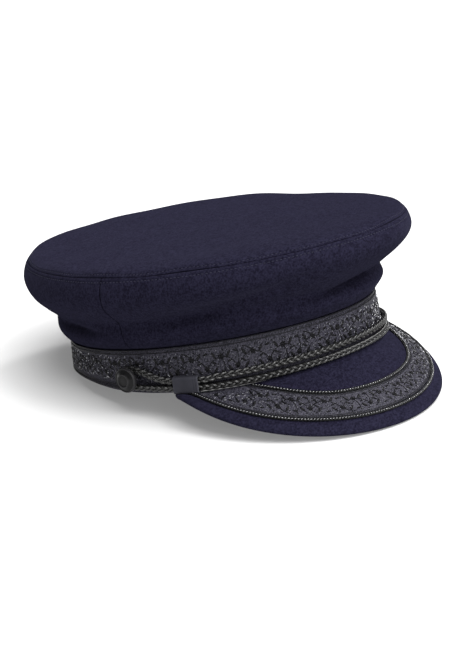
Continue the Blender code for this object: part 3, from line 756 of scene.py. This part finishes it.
def fan(ring, middle):
    """Triangles from a ring of points to its middle."""
    return [(here, there, middle) for here, there in zip(ring, [*ring[1:], ring[0]])]


def skin(sections, cyclic, along=None, across=None):
    """A mesh through closed sections (section, point, xyz), with UVs in metres; open ends are capped."""
    count, width = sections.shape[:2]
    along = np.arange(count + 1) if along is None else along
    across = np.arange(width + 1) if across is None else across
    faces = quads(count, width, cyclic)
    u, v = cells(count if cyclic else count - 1, width)
    corners = columns(along[u], across[v]).reshape(-1, 2)
    if not cyclic:
        ends = [
            (base + k, base + k + 1, base + width - 2 - k, base + width - 1 - k)
            for base in (0, (count - 1) * width) for k in range(width // 2 - 1)
        ]
        faces += ends
        corners = np.concatenate([corners, np.zeros((4 * len(ends), 2))])
    return sections.reshape(-1, 3), faces, corners


def joined(meshes):
    """One mesh of many."""
    points, faces, corners = zip(*meshes)
    firsts = np.cumsum([0, *map(len, points)]).tolist()
    moved = [tuple(first + k for k in face) for first, part in zip(firsts, faces) for face in part]
    return np.concatenate(points), moved, None if corners[0] is None else np.concatenate(corners)


def looped(points, cyclic):
    """The points of a route, with the first one again at the end if it is closed."""
    return np.concatenate([points, points[:1]]) if cyclic else points


def arc_lengths(points, cyclic=False):
    """How far along a route of points each one lies, with the whole length last if it is closed."""
    steps = np.linalg.norm(np.diff(looped(points, cyclic), axis=0), axis=-1)
    return np.concatenate([[0.0], np.cumsum(steps)])


def at_lengths(places, lengths, values):
    """The values of a route's points at places between them."""
    return np.stack([np.interp(places, lengths, values[:, k]) for k in range(3)], axis=-1)


def tube(route, out, radius, sides, cyclic):
    """Sections of a tube about a route: out is a direction roughly across it at each point."""
    tangent = unit(slopes(route, cyclic))
    first = unit(out - tangent * np.sum(out * tangent, axis=-1, keepdims=True))
    second = np.cross(tangent, first)
    swing = circle(sides)[:, None]
    return route[:, None] + radius * (np.cos(swing) * first[:, None] + np.sin(swing) * second[:, None])


# ---- cloth


def turned_in(edge, along, inward):
    """Rows of points that carry an edge of cloth round and into a seam."""
    return [
        edge + TURN_IN_RADIUS * (along * math.sin(swing) + inward * (1 - math.cos(swing)))
        for swing in np.linspace(0, math.pi / 2, TURN_IN_STEPS + 1)[1:]
    ]


def cloth(angles, spans, cyclic, row_length):
    """The crown's outer face, drawn in under the topstitches, its inner face and its normals."""
    a, p = np.meshgrid(angles, np.concatenate([np.linspace(*span) for span in spans]), indexing="ij")
    face = crown_point(a, p)
    normals = grid_normals(face, cyclic)
    from_stitches = np.abs(p - SEAM_ROW) * row_length - TOPSTITCH_FROM_SEAM
    drawn = TOPSTITCH_DEPTH * np.exp(-((from_stitches / TOPSTITCH_HALF_WIDTH) ** 2))
    return face - normals * drawn[..., None], face - normals * WOOL_THICKNESS, normals


def crown_side(first, last):
    """One half of the side crown, folded, with its edges turned into the seams."""
    inset = TURN_IN_RADIUS / BAND_HALF_LENGTH
    angles = np.linspace(first + inset, last - inset, SIDE_COLUMNS)
    outer, inner, normals = cloth(angles, SIDE_SPANS, False, EDGE_TO_SEAM)
    tops = turned_in(outer[:, -1], unit(outer[:, -1] - outer[:, -2]), -normals[:, -1])
    outer = np.concatenate([outer, np.stack(tops, axis=1)], axis=1)
    sections = np.concatenate([outer, inner[:, ::-1]], axis=1)
    ends = []
    for end, neighbour in ((0, 1), (-1, -2)):
        inward = np.concatenate([-normals[end], np.repeat(-normals[end, -1:], len(tops), axis=0)])
        rows = turned_in(outer[end], unit(outer[end] - outer[neighbour]), inward)
        ends.append([np.concatenate([row, sections[end, outer.shape[1]:]]) for row in rows])
    return skin(np.concatenate([ends[0][::-1], sections, ends[1]]), False)


def crown_top():
    """The tip: a gently uneven oval of cloth, turned in at the seam and closed in the middle."""
    outer, inner, normals = cloth(circle(TIP_COLUMNS), TIP_SPANS, True, SEAM_TO_SHOULDER)
    rim = turned_in(outer[:, 0], unit(outer[:, 0] - outer[:, 1]), -normals[:, 0])
    outer = np.concatenate([np.stack(rim[::-1], axis=1), outer], axis=1)
    sections = np.concatenate([outer, inner[:, ::-1]], axis=1)
    (count, width), last = sections.shape[:2], outer.shape[1] - 1
    points, faces, corners = skin(sections, True)
    faces = [face for k, face in enumerate(faces) if k % width != last]
    corners = np.delete(corners.reshape(count, width, 8), last, axis=1).reshape(-1, 2)
    middle = outer[:, -1].mean(axis=0)
    points = np.concatenate([points, [middle, middle - UP * WOOL_THICKNESS]])
    for side in (0, 1):
        faces += fan(range(last + side, count * width, width), count * width + side)
    return points, faces, np.concatenate([corners, np.zeros((6 * count, 2))])


def crown_line(angles, places, cyclic):
    """A line over the crown, round it if cyclic and otherwise up it, and its outward directions."""
    near = np.array((-0.03, 0.0, 0.03))
    if cyclic:
        a, p = np.meshgrid(angles, places + near, indexing="ij")
    else:
        p, a = np.meshgrid(places, angles + near, indexing="ij")
    grid = crown_point(a, p)
    return grid[:, 1], grid_normals(grid, cyclic)[:, 1] * (1 if cyclic else -1)


def topstitch_rows():
    """The two rows of stitches beside the seam round the tip."""
    rows = []
    for from_seam in (-TOPSTITCH_FROM_SEAM / EDGE_TO_SEAM, TOPSTITCH_FROM_SEAM / SEAM_TO_SHOULDER):
        line, out = crown_line(circle(LINE_SAMPLES), SEAM_ROW + from_seam, True)
        rows.append((line - out * TOPSTITCH_DEPTH * TOPSTITCH_SINK, out, True, 0.0))
    return rows


def seam_shade_line(angles, places, cyclic):
    """A dark tube at the bottom of a seam in the crown, where the turned edges lie; its dark colour is
    painted shade in the seam's groove.
    """
    line, out = crown_line(angles, places, cyclic)
    route = line - out * SEAM_LINE_DEPTH
    return skin(tube(route, out, SEAM_LINE_RADIUS, SEAM_LINE_SIDES, cyclic), cyclic)


def foot_seam():
    """The turned edge of the side crown, which closes the gap above the headband; it takes the seams'
    painted shade.
    """
    angles = circle(TIP_COLUMNS)
    inside = TRIM_THICKNESS + GAP + HEADBAND_THICKNESS / 2
    line = band_point(angles, -inside, band_top(angles) + GAP / 2)
    return skin(tube(line, band_normal(angles), FOOT_SEAM_RADIUS, SEAM_LINE_SIDES, True), True)


def trim_foot(angle):
    above_rim = rim_height(angle) + TRIM_ABOVE_RIM
    near_peak = np.maximum(above_rim, peak_joint(angle) + GAP)
    return np.where(np.abs(signed(angle)) < PEAK_END_ANGLE, near_peak, above_rim)


def band_wall(foot, outer_face, thickness, rounding):
    """A wall round the head, from its foot to the band's top, with rounded edges."""
    angles = np.linspace(0, FULL_TURN, BAND_COLUMNS)
    foot, top = foot(angles), band_top(angles)

    def face(out, shares):
        return [(out, foot + rounding + (top - foot - 2 * rounding) * share) for share in shares]

    def rounded(edge, sign):
        reach = sign * min(rounding, thickness / 2)
        return [
            (outer_face - thickness / 2 * (1 - math.cos(swing)), edge + reach * math.sin(swing))
            for swing in np.linspace(0, math.pi, BAND_EDGE_STEPS)[1:-1]
        ]

    rows = face(outer_face, np.linspace(0, 1, BAND_ROWS)) + rounded(top - rounding, 1)
    rows += face(outer_face - thickness, (1.0, 0.5, 0.0)) + rounded(foot + rounding, -1)[::-1]
    sections = np.stack([band_point(angles, out, height) for out, height in rows], axis=1)
    along = arc_lengths(band_point(angles, outer_face, 0.0))
    across = np.array([height.mean() for _, height in rows + rows[:1]])
    return skin(sections[:-1], True, along, across)


def peak_cloth():
    """The peak: cloth over a stiff core, with a rounded outer edge."""
    last = PEAK_END_ANGLE * PEAK_CUT
    angles = last * np.sin(np.linspace(-math.pi / 2, math.pi / 2, PEAK_COLUMNS))
    shares = 1 - np.linspace(1, 0, PEAK_ROWS) ** PEAK_ROW_POWER
    a, s = np.meshgrid(angles, shares, indexing="ij")
    top = peak_point(a, s)
    upright = (1 - s[..., None]) ** 3
    down = unit(peak_normal(a, s) * (1 - upright) + UP * upright)
    half = PEAK_THICKNESS / 2
    inset = np.clip((1 - s) * peak_width(angles)[:, None] / half, 0.0, 1.0)
    rounding = half * (1 - np.sqrt(np.maximum(0.0, 1 - (1 - inset) ** 2)))[..., None]
    from_end = np.clip((last - np.abs(angles)) / PEAK_TAPER, 0.0, 1.0)
    taper = PEAK_END_THICKNESS + (1 - PEAK_END_THICKNESS) * np.sqrt(from_end * (2 - from_end))
    thickness = (PEAK_THICKNESS * taper)[:, None, None]
    lower = top - down * np.maximum(thickness - rounding, rounding + PEAK_LEAST_WALL)
    lower = lower[:, ::-1][:, 1:]
    filler = lower[:, -1:] + 0.02 * MM * UP  # the capped ends need an even count
    return skin(np.concatenate([top - down * rounding, lower, filler], axis=1), False)


def peak_ribbon():
    """The crescent of ribbon on the peak."""
    angles = peak_span(0.0, PEAK_TRIM_END, TRIM_FROM_BAND, TRIM_COLUMNS)
    places = np.linspace(1.0, 0.0, TRIM_ROWS)
    a, c = np.meshgrid(angles, places, indexing="ij")
    m = trim_margin(a, c)
    high, low = (on_peak(a, m, lift) for lift in (ribbon_lift(a, m), np.full_like(a, TRIM_UNDERSIDE)))
    along = arc_lengths(on_peak(angles, trim_margin(angles, 0.5), 0 * angles))
    across = PEAK_TRIM_WIDTH * np.concatenate([places, places[::-1], places[:1]])
    return skin(np.concatenate([high, low[:, ::-1]], axis=1), False, along, across)


# ---- cords and stitches


def even_route(points, step, cyclic):
    """The same route with its points an even step apart, and its length."""
    lengths = arc_lengths(points, cyclic)
    places = np.linspace(0, lengths[-1], round(lengths[-1] / step) + 1)[:-1 if cyclic else None]
    return at_lengths(places, lengths, looped(points, cyclic)), lengths[-1]


def plait(route, out, length, radius, cycle, cyclic, sides):
    """A flat plait of three strands along an even route; out faces away from what it lies on."""
    swing_out = PLAIT_SWING * radius
    strand = radius - swing_out
    count = len(route)
    cycles = round(length / cycle) if cyclic else length / cycle
    side = np.cross(out, unit(slopes(route, cyclic)))
    along, across = np.linspace(0, length, count + 1), np.linspace(0, FULL_TURN * strand, sides + 1)
    strands = []
    for k in range(3):
        swing = (FULL_TURN * (cycles * np.arange(count) / count + k / 3))[:, None]
        line = route + swing_out * (side * np.sin(swing) + PLAIT_DEPTH * out * np.sin(2 * swing))
        strands.append(skin(tube(line, out, strand * STRAND_SWELL, sides, cyclic), cyclic, along, across))
    return joined(strands)


def chin_cord():
    """The whole loop: under strand to the right, round a button, back above, round the other."""
    strand = np.linspace(-BUTTON_ANGLE, BUTTON_ANGLE, CORD_SAMPLES)
    under, above = (
        cord_point(strand, cord_middle(strand) + way * cord_half_spacing(strand)) for way in (-1, 1)
    )
    swing = np.linspace(0, math.pi, LOOP_SAMPLES)[1:-1]
    beyond = BUTTON_ANGLE + np.sin(swing) * BUTTON_LOOP_RADIUS / BAND_HALF_LENGTH
    height = BUTTON_HEIGHT - np.cos(swing) * BUTTON_LOOP_RADIUS
    right, left = cord_point(beyond, height), cord_point(-beyond, height)
    loop = np.concatenate([under, right, above[::-1], left[::-1]])
    route, length = even_route(loop, CORD_STEP, True)
    turn = np.arctan2(-route[:, 0] / BAND_HALF_WIDTH, -route[:, 1] / BAND_HALF_LENGTH)
    return plait(route, band_normal(turn), length, CORD_RADIUS, CORD_CYCLE, True, CORD_SIDES)


def peak_plait_route(across, beyond):
    """An even route along an edge of the ribbon on the peak, its outward directions and its length."""
    angles = peak_span(across, beyond, PLAIT_END, PEAK_PLAIT_SAMPLES)
    margin = trim_margin(angles, across, beyond)
    lift = PEAK_PLAIT_LIFT * clear_of_cord(angles, margin, PLAIT_END) - PEAK_PLAIT_SINK
    line = on_peak(angles, margin, lift)
    route, length = even_route(line, PEAK_PLAIT_STEP, False)
    turn = np.interp(arc_lengths(route), arc_lengths(line), angles)
    return route, peak_normal(turn, peak_share(turn, trim_margin(turn, across, beyond))), length


def capsule(length, radius, sides=6):
    """A stitch lying along x: its points and faces."""
    profile = ((-0.46, 0.6), (-0.3, 1.0), (0.3, 1.0), (0.46, 0.6))
    swing, total = circle(sides), len(profile) * sides
    rings = [
        columns(share * length, size * radius * np.cos(swing), size * radius * np.sin(swing))
        for share, size in profile
    ]
    faces = quads(len(profile), sides) + fan(range(sides), total)
    faces += fan(range(total - sides, total), total + 1)
    return np.concatenate([*rings, [(-length / 2, 0, 0), (length / 2, 0, 0)]]), faces


def stitches(rows, pitch, length, radius):
    """Rows of stitches: each row is a route, its outward directions, whether it closes, and the slant."""
    shape, faces = capsule(length, radius)
    parts = []
    for line, out, cyclic, slant in rows:
        lengths = arc_lengths(line, cyclic)
        count = round(lengths[-1] / pitch)
        places = (np.arange(count) + 0.5) * lengths[-1] / count
        at, z = (at_lengths(places, lengths, looped(values, cyclic)) for values in (line, out))
        z, forward = unit(z), unit(slopes(at, cyclic))
        x = forward * math.cos(slant) + np.cross(z, forward) * math.sin(slant)
        turned = np.stack([x, np.cross(z, x), z], axis=1)
        parts += [(points, faces, None) for points in at[:, None] + shape @ turned]
    return joined(parts)


# ---- the ribbon's raised figure


def mound(outline, profile):
    """Rings of an outline (its x and y): profile gives each one's size and height."""
    return [columns(size * outline[0], size * outline[1], lift) for size, lift in profile]


def leaf(length, width, height, sides=10):
    """A pointed leaf with a creased midrib, lying along x: its points and faces."""
    swing = circle(sides)
    pointed = np.sin(swing) * (1 - LEAF_POINTING * np.cos(swing) ** 2)
    rings = mound(
        (length / 2 * np.cos(swing), width / 2 * pointed),
        ((1.0, FIGURE_SINK), (0.93, 0.55 * height), (0.55, 0.95 * height)),
    )
    midrib = [(-0.25 * length, 0.0, 0.72 * height), (0.25 * length, 0.0, 0.72 * height)]
    faces = quads(3, sides)
    top, middle = 2 * sides, 3 * sides
    front = [int(math.cos(angle + math.pi / sides) > 0.001) for angle in swing]
    for k in range(sides):
        faces.append((top + k, top + (k + 1) % sides, middle + front[k]))
        if front[k] != front[k - 1]:
            faces.append((top + k, middle + front[k], middle + front[k - 1]))
    return np.concatenate([*rings, midrib]), faces


def dome(radius, height, sides=8):
    """A small round boss: its points and faces."""
    rings = mound(
        (radius * np.cos(circle(sides)), radius * np.sin(circle(sides))),
        ((1.0, FIGURE_SINK), (0.9, 0.5 * height), (0.5, 0.9 * height)),
    )
    faces = quads(3, sides) + fan(range(2 * sides, 3 * sides), 3 * sides)
    return np.concatenate([*rings, [(0.0, 0.0, height)]]), faces


def stem(start, bend, end, steps=8):
    """A low arched cord from start to end by way of bend, in the ribbon's plane."""
    t = np.linspace(0, 1, steps + 1)[:, None]
    line = start * (1 - t) ** 2 + 2 * bend * t * (1 - t) + end * t**2
    along = unit(np.gradient(line, axis=0))
    side = STEM_RADIUS * columns(-along[:, 1], along[:, 0])
    low, high = FIGURE_SINK, 0.7 * STEM_HEIGHT
    profile = ((-1.0, low), (-0.75, high), (0.0, STEM_HEIGHT), (0.75, high), (1.0, low))
    grid = np.stack([columns(*(line + side * out).T, lift) for out, lift in profile], axis=1)
    return grid.reshape(-1, 3), quads(steps + 1, len(profile), open_side=True)


def placed(element, x, y, turn=0.0):
    """An element turned and moved in the ribbon's plane, in metres."""
    (px, py, pz), faces = element[0].T, element[1]
    cos, sin = math.cos(turn), math.sin(turn)
    return columns(x + px * cos - py * sin, y + px * sin + py * cos, pz), faces


def satin_elements():
    """The raised strokes of one repeat, which are coloured pale as painted highlight."""
    draws = np.random.default_rng(SEED)
    elements = []
    for column in range(SATIN_GRID[0]):
        for row in range(SATIN_GRID[1]):
            along = (column + draws.uniform(*SATIN_PLACE)) * MOTIF_REPEAT / SATIN_GRID[0]
            across = (row + draws.uniform(*SATIN_PLACE)) * MOTIF_WIDTH / SATIN_GRID[1]
            stroke = leaf(draws.uniform(*SATIN_LENGTH), SATIN_WIDTH, SATIN_HEIGHT, 6)
            elements.append(placed(stroke, along, across, draws.uniform(-SATIN_TURN, SATIN_TURN)))
    return elements


def motif_elements():
    """The dark elements of one repeat: leaves, stems, rosettes and dots."""
    elements = []
    for x, y, turn, length, width in LEAVES_MM:
        shape = leaf(length * MM, width * MM, LEAF_HEIGHT)
        elements.append(placed(shape, x * MM, y * MM, math.radians(turn)))
    for row in STEMS_MM:
        elements.append(stem(*np.reshape(row, (3, 2)) * MM))
    for x, y, petals, length, width in ROSETTES_MM:
        petal = leaf(length * MM, width * MM, PETAL_HEIGHT, 8)
        out = length / 2 + PETAL_FROM_MIDDLE
        for turn in circle(petals) + ROSETTE_TURN:
            place = (x + out * math.cos(turn)) * MM, (y + out * math.sin(turn)) * MM
            elements.append(placed(petal, *place, turn))
        elements.append(placed(dome(*ROSETTE_EYE), x * MM, y * MM))
    for x, y, radius in DOTS_MM:
        elements.append(placed(dome(radius * MM, DOT_HEIGHT, 6), x * MM, y * MM))
    return elements


def figure(elements, length, mapping, keep=None):
    """A whole ribbon's figure: repeats of the elements, carried onto the cap."""
    repeats = round(length / MOTIF_REPEAT)
    stretch = length / (repeats * MOTIF_REPEAT)
    parts = []
    for k in range(repeats):
        for shape, faces in elements:
            along = (shape[:, 0] + k * MOTIF_REPEAT) * stretch
            if keep is None or keep(along, shape[:, 1]):
                corners = np.concatenate([shape[list(face), :2] for face in faces])
                parts.append((mapping(along, shape[:, 1], shape[:, 2]), faces, corners))
    return joined(parts)


def ribbon_levels(angle):
    """The foot and top of the band's ribbon, and its height against the full one."""
    foot, top = trim_foot(angle), band_top(angle)
    return foot, top, (top - foot) / RIBBON_WIDTH


def band_mapping():
    """The ribbon's length round the band, and what carries (along, across, lift) onto it."""
    angles = np.linspace(0, FULL_TURN, MAPPING_SAMPLES)
    along = arc_lengths(band_point(angles, 0.0, 0.0))

    def mapping(u, v, lift):
        angle = np.interp(u % along[-1], along, angles)
        _, top, scale = ribbon_levels(angle)
        return band_point(angle, lift, top - (BORDER_WIDTH + MOTIF_WIDTH - v) * scale)

    return along[-1], mapping


def peak_mapping():
    """The same for the peak, with across from the outer edge, and a test for what the cord hides."""
    angles = peak_span(0.0, PEAK_TRIM_END, TRIM_FROM_BAND, MAPPING_SAMPLES)
    along = arc_lengths(on_peak(angles, trim_margin(angles, 0.5), 0 * angles))
    end, hidden = 0.5 * MM, CORD_REACH - 1.4 * MM

    def margin_of(angle, v):
        squeeze = (trim_width(angle) - 2 * PEAK_PLAIN_EDGE) / MOTIF_WIDTH
        return PEAK_TRIM_MARGIN + PEAK_PLAIN_EDGE + v * squeeze

    def mapping(u, v, lift):
        angle = np.interp(u, along, angles)
        margin = margin_of(angle, v)
        return on_peak(angle, margin, ribbon_lift(angle, margin) + lift)

    def keep(u, v):
        angle = np.interp(u, along, angles)
        on_ribbon = u.min() >= end and u.max() <= along[-1] - end
        return on_ribbon and np.all(peak_width(angle) - margin_of(angle, v) > hidden)

    return along[-1], mapping, keep


def band_line(side, away, lift):
    """A line round the band's ribbon, its outward directions, and that it closes."""
    angles = circle(LINE_SAMPLES)
    foot, top, scale = ribbon_levels(angles)
    height = top - away * scale if side == "top" else foot + away * scale
    return band_point(angles, lift, height), band_normal(angles), True


def peak_line(across, beyond, lift):
    """A line along the peak's ribbon, its outward directions, and that it has ends."""
    angles = peak_span(across, beyond, PLAIT_END, PEAK_LINE_SAMPLES)
    margin = trim_margin(angles, across, beyond)
    route = on_peak(angles, margin, ribbon_lift(angles, margin) + lift)
    return route, peak_normal(angles, peak_share(angles, margin)), False


def border_cords(lines, radius):
    """Fine cords along the ribbon's edges."""
    step, width = BORDER_UV
    cords = []
    for route, out, cyclic in lines:
        along, across = np.arange(len(route) + 1) * step, np.linspace(0, width, BORDER_SIDES + 1)
        cords.append(skin(tube(route, out, radius, BORDER_SIDES, cyclic), cyclic, along, across))
    return joined(cords)


def dress_ribbon(place, mapping, cords, hatch):
    """All that is raised on a ribbon: the dark figure, the strokes coloured pale as painted highlight, and
    the borders.
    """
    for word, elements, thread in (("figure", motif_elements(), FIGURE), ("satin", satin_elements(), SATIN_PAINTED_HIGHLIGHT)):
        add_piece(f"{place}_{word}", figure(elements, *mapping), thread, flat_angle=75)
    add_piece(f"{place}_border_cords", cords, BORDER, flat_angle=180)
    rows = [(*line, way * HATCH_SLANT) for line, way in hatch]
    add_piece(f"{place}_border_hatch", stitches(rows, **HATCH), BORDER)


# ---- keepers and buttons


def keeper(side):
    """A flat sleeve of hide round both strands, with soft edges and a lapped end."""
    half = np.array((CORD_RADIUS + GAP, 2 * CORD_RADIUS + GAP * 1.5))
    centre = np.array((half[0], 0.0))
    swing = np.radians([first + 15 * k for first in (0, 90, 180, 270) for k in range(7)])
    normals = columns(np.cos(swing), np.sin(swing))
    signs = np.repeat(((1, 1), (-1, 1), (-1, -1), (1, -1)), 7, axis=0)
    profile = centre + signs * (half - KEEPER_ROUND_OFF)
    quarter = np.linspace(0, math.pi / 2, 5)
    edge = columns(
        1 - KEEPER_EDGE / (KEEPER_LENGTH / 2) * (1 - np.cos(quarter)), 0.5 + 0.5 * np.sin(quarter)
    )
    shares = np.linspace(-0.9, 0.9, KEEPER_LANES)
    grooves = sum(
        depth * np.exp(-(((shares - place) / reach) ** 2)) for place, reach, depth in KEEPER_GROOVES
    )
    lanes = np.concatenate([
        [(-1.0, 0.0)], edge * (-1, 1), columns(shares, 1.0 - grooves), edge[::-1], [(1.0, 0.0), (0.0, 0.0)]
    ])
    sections = []
    for share, wall in lanes:
        around = profile + normals * (KEEPER_ROUND_OFF + KEEPER_WALL * wall)
        angle = side * (KEEPER_ANGLE - share * KEEPER_HALF_TURN)
        outset = GAP * 1.5 + KEEPER_WALL + around[:, 0]
        sections.append(band_point(angle, outset, KEEPER_HEIGHT + around[:, 1]))
    return skin(np.stack(sections), True)


def button(side):
    """A turned button: a dished middle in a raised ring, a sloping face and a rolled rim."""
    head = np.array(BUTTON_PROFILE_MM) * MM + (0.0, BUTTON_HEAD_BASE)
    shank = (
        (BUTTON_SHANK_RADIUS + SHANK_FLARE, BUTTON_HEAD_BASE),
        (BUTTON_SHANK_RADIUS, BUTTON_HEAD_BASE - SHANK_FLARE_LENGTH),
        (BUTTON_SHANK_RADIUS, GAP),
        (0.0, GAP),
    )
    profile = np.concatenate([head, shank])
    angle = np.array(side * BUTTON_ANGLE)
    place, out = band_point(angle, 0.0, BUTTON_HEIGHT), band_normal(angle)
    swing = circle(BUTTON_COLUMNS)[:, None]
    ring = np.cos(swing) * np.cross(UP, out) + np.sin(swing) * UP
    sections = place + ring[:, None] * profile[1:-1, :1] + out * profile[1:-1, 1:]
    count, width = sections.shape[:2]
    total = count * width
    faces = quads(count, width, True, True) + fan(range(0, total, width), total)
    faces += fan(range(width - 1, total, width), total + 1)
    return np.concatenate([sections.reshape(-1, 3), place + out * profile[[0, -1], 1:]]), faces, None


# ---- camera, light and floor


def add_camera():
    back = Vector((
        -math.sin(CAMERA_AROUND) * math.cos(CAMERA_ABOVE),
        -math.cos(CAMERA_AROUND) * math.cos(CAMERA_ABOVE),
        math.sin(CAMERA_ABOVE),
    ))
    above = VIEW_RIGHT.cross(-back)
    across = VIEW_RIGHT * math.cos(CAMERA_ROLL) + above * math.sin(CAMERA_ROLL)
    upward = above * math.cos(CAMERA_ROLL) - VIEW_RIGHT * math.sin(CAMERA_ROLL)
    data = bpy.data.cameras.new("camera")
    data.sensor_width = SENSOR
    data.sensor_fit = "AUTO"
    data.lens = FOCAL_PIXELS / PHOTO_HEIGHT * SENSOR
    data.shift_x = (PHOTO_WIDTH / 2 - SEAT_PIXEL[0]) / PHOTO_HEIGHT
    data.shift_y = (SEAT_PIXEL[1] - PHOTO_HEIGHT / 2) / PHOTO_HEIGHT
    data.clip_start, data.clip_end = 0.05, 50.0
    camera = add_object("camera", data)
    camera.matrix_world = Matrix.Translation(
        Vector(SEAT["pos_m"]) + back * CAMERA_DISTANCE
    ) @ Matrix((across, upward, back)).transposed().to_4x4()
    bpy.context.scene.camera = camera


def add_lights():
    """Soft suns, set out by the camera's heading."""
    for name, (to_right, to_away, to_up, width, strength) in SUNS.items():
        data = bpy.data.lights.new(name, "SUN")
        data.energy = strength
        data.angle = math.radians(width)
        towards = VIEW_RIGHT * to_right + VIEW_AWAY * to_away + Vector(UP) * to_up
        sun = add_object(name, data)
        sun.rotation_mode = "QUATERNION"
        sun.rotation_quaternion = towards.to_track_quat("Z", "Y")
    world = bpy.data.worlds.new("studio")
    world.use_nodes = True
    sky = world.node_tree.nodes["Background"]
    sky.inputs["Color"].default_value = (1.0, 1.0, 1.0, 1.0)
    sky.inputs["Strength"].default_value = WORLD_STRENGTH
    bpy.context.scene.world = world
    bpy.context.scene.view_settings.view_transform = "Standard"


def add_floor():
    mesh = bpy.data.meshes.new("floor")
    corners = [(x * FLOOR_HALF, y * FLOOR_HALF, 0) for x, y in ((-1, -1), (1, -1), (1, 1), (-1, 1))]
    mesh.from_pydata(corners, [], [(0, 1, 2, 3)])
    paper = Recipe("pale_paper", (FLOOR_SHADE,) * 3, 0.9, Specular_IOR_Level=0.0,
                   Emission_Color=(1.0, 1.0, 1.0, 1.0), Emission_Strength=FLOOR_GLOW)
    mesh.materials.append(paper.material)
    floor = add_object("floor", mesh)


# ---- the cap


add_camera()
add_lights()
add_floor()

WOOL = wool_material()
LINING_WOOL = wool_material("navy_wool_inside", 0.8)
RIBBON = ribbon_material()
FIGURE = thread_material("figure_thread", (0.002, 0.002, 0.0027), 0.25, 0.3 * MM, gloss=0.15)
# Glossy thread coloured pale as painted highlight: the ribbons' strokes and the beads on the peak's plaits
SATIN_PAINTED_HIGHLIGHT = thread_material("satin_thread_painted_highlight", (0.085, 0.085, 0.100), 0.22, 0.4 * MM, gloss=1.0, ior=2.0)
BORDER = thread_material(
    "border_thread", (0.0045, 0.0045, 0.006), 0.34, 0.7 * MM, math.radians(35), gloss=0.15
)
CORD = thread_material(
    "cord_thread", (0.0034, 0.0033, 0.0033), 0.32, 0.9 * MM, math.radians(40), bump=0.4, gloss=0.55
)
PLAIT = thread_material(
    "edge_plait_thread", (0.0020, 0.0020, 0.0022), 0.32, 0.9 * MM, math.radians(40), bump=0.3, gloss=0.15
)
HIDE = hide_material()
BUTTON = button_material()
STITCH = thread_material("stitch_thread", (0.045, 0.045, 0.075), 0.6, 0.5 * MM, gloss=0.05)
# Seam lines: the wool darkened to 0.3, as painted shade in the seams' grooves and in the gap above the
# headband
SEAM_PAINTED_SHADE = wool_material("seam_shade_line", 0.3)
SIDES = ((1, "right"), (-1, "left"))

for half, first, last in (
    ("front", -PANEL_SEAM_ANGLE, PANEL_SEAM_ANGLE), ("back", PANEL_SEAM_ANGLE, FULL_TURN - PANEL_SEAM_ANGLE)
):
    add_piece(f"side_crown_{half}_wool", crown_side(first, last), WOOL, [f"side_crown_{half}"])
add_piece("crown_tip_wool", crown_top(), WOOL, ["crown_tip"])
add_piece("tip_topstitches", stitches(topstitch_rows(), **TOPSTITCH), STITCH)
# The dark lines in the seams below are painted shade
add_piece("tip_seam_shade_line", seam_shade_line(circle(TIP_COLUMNS), SEAM_ROW, True), SEAM_PAINTED_SHADE)
for side, word in SIDES:
    mesh = seam_shade_line(side * PANEL_SEAM_ANGLE, np.linspace(*PANEL_SEAM_SPAN), False)
    add_piece(f"panel_seam_shade_{word}", mesh, SEAM_PAINTED_SHADE)
add_piece("foot_seam_shade_line", foot_seam(), SEAM_PAINTED_SHADE)

headband = band_wall(rim_height, -(TRIM_THICKNESS + GAP), HEADBAND_THICKNESS, HEADBAND_ROUNDING)
add_piece("headband_wool", headband, LINING_WOOL, ["headband"])
ribbon = band_wall(trim_foot, 0.0, TRIM_THICKNESS, TRIM_ROUNDING)
add_piece("band_ribbon", ribbon, RIBBON, ["band_trim"])
dress_ribbon(
    "band",
    band_mapping(),
    border_cords([band_line(*place, BAND_BORDER_LIFT) for place in BAND_BORDERS], BAND_BORDER_RADIUS),
    [(band_line(*place, BAND_HATCH_LIFT), way) for *place, way in BAND_HATCH],
)

add_piece("peak_wool", peak_cloth(), WOOL, ["peak"])
add_piece("peak_ribbon", peak_ribbon(), RIBBON, ["peak_trim"])
dress_ribbon(
    "peak",
    peak_mapping(),
    border_cords([peak_line(*place, 0.0) for place in PEAK_BORDERS], PEAK_BORDER_RADIUS),
    [(peak_line(*place, PEAK_HATCH_LIFT), way) for *place, way in PEAK_HATCH],
)
# The beads along the peak's plaits are coloured pale as painted highlight
beads = []
clear = PEAK_BRAID_RADIUS + GAP
for word, across, beyond in (("outer", 0.0, -clear), ("inner", 1.0, clear)):
    route, out, length = peak_plait_route(across, beyond)
    mesh = plait(route, out, length, PEAK_PLAIT_RADIUS, PEAK_PLAIT_CYCLE, False, PEAK_PLAIT_SIDES)
    add_piece(f"peak_plait_{word}", mesh, PLAIT, [f"peak_braid_{word}"])
    beads.append((route + out * BEAD_LIFT, out, False, BEAD_SLANT))
add_piece("peak_plait_highlight_beads", stitches(beads, **BEADS), SATIN_PAINTED_HIGHLIGHT)

add_piece("chin_plait", chin_cord(), CORD, ["chin_cord"])
for side, word in SIDES:
    add_piece(f"keeper_{word}_hide", keeper(side), HIDE, [f"keeper_{word}"])
    add_piece(f"button_{word}_turned", button(side), BUTTON, [f"button_{word}"], flat_angle=50)
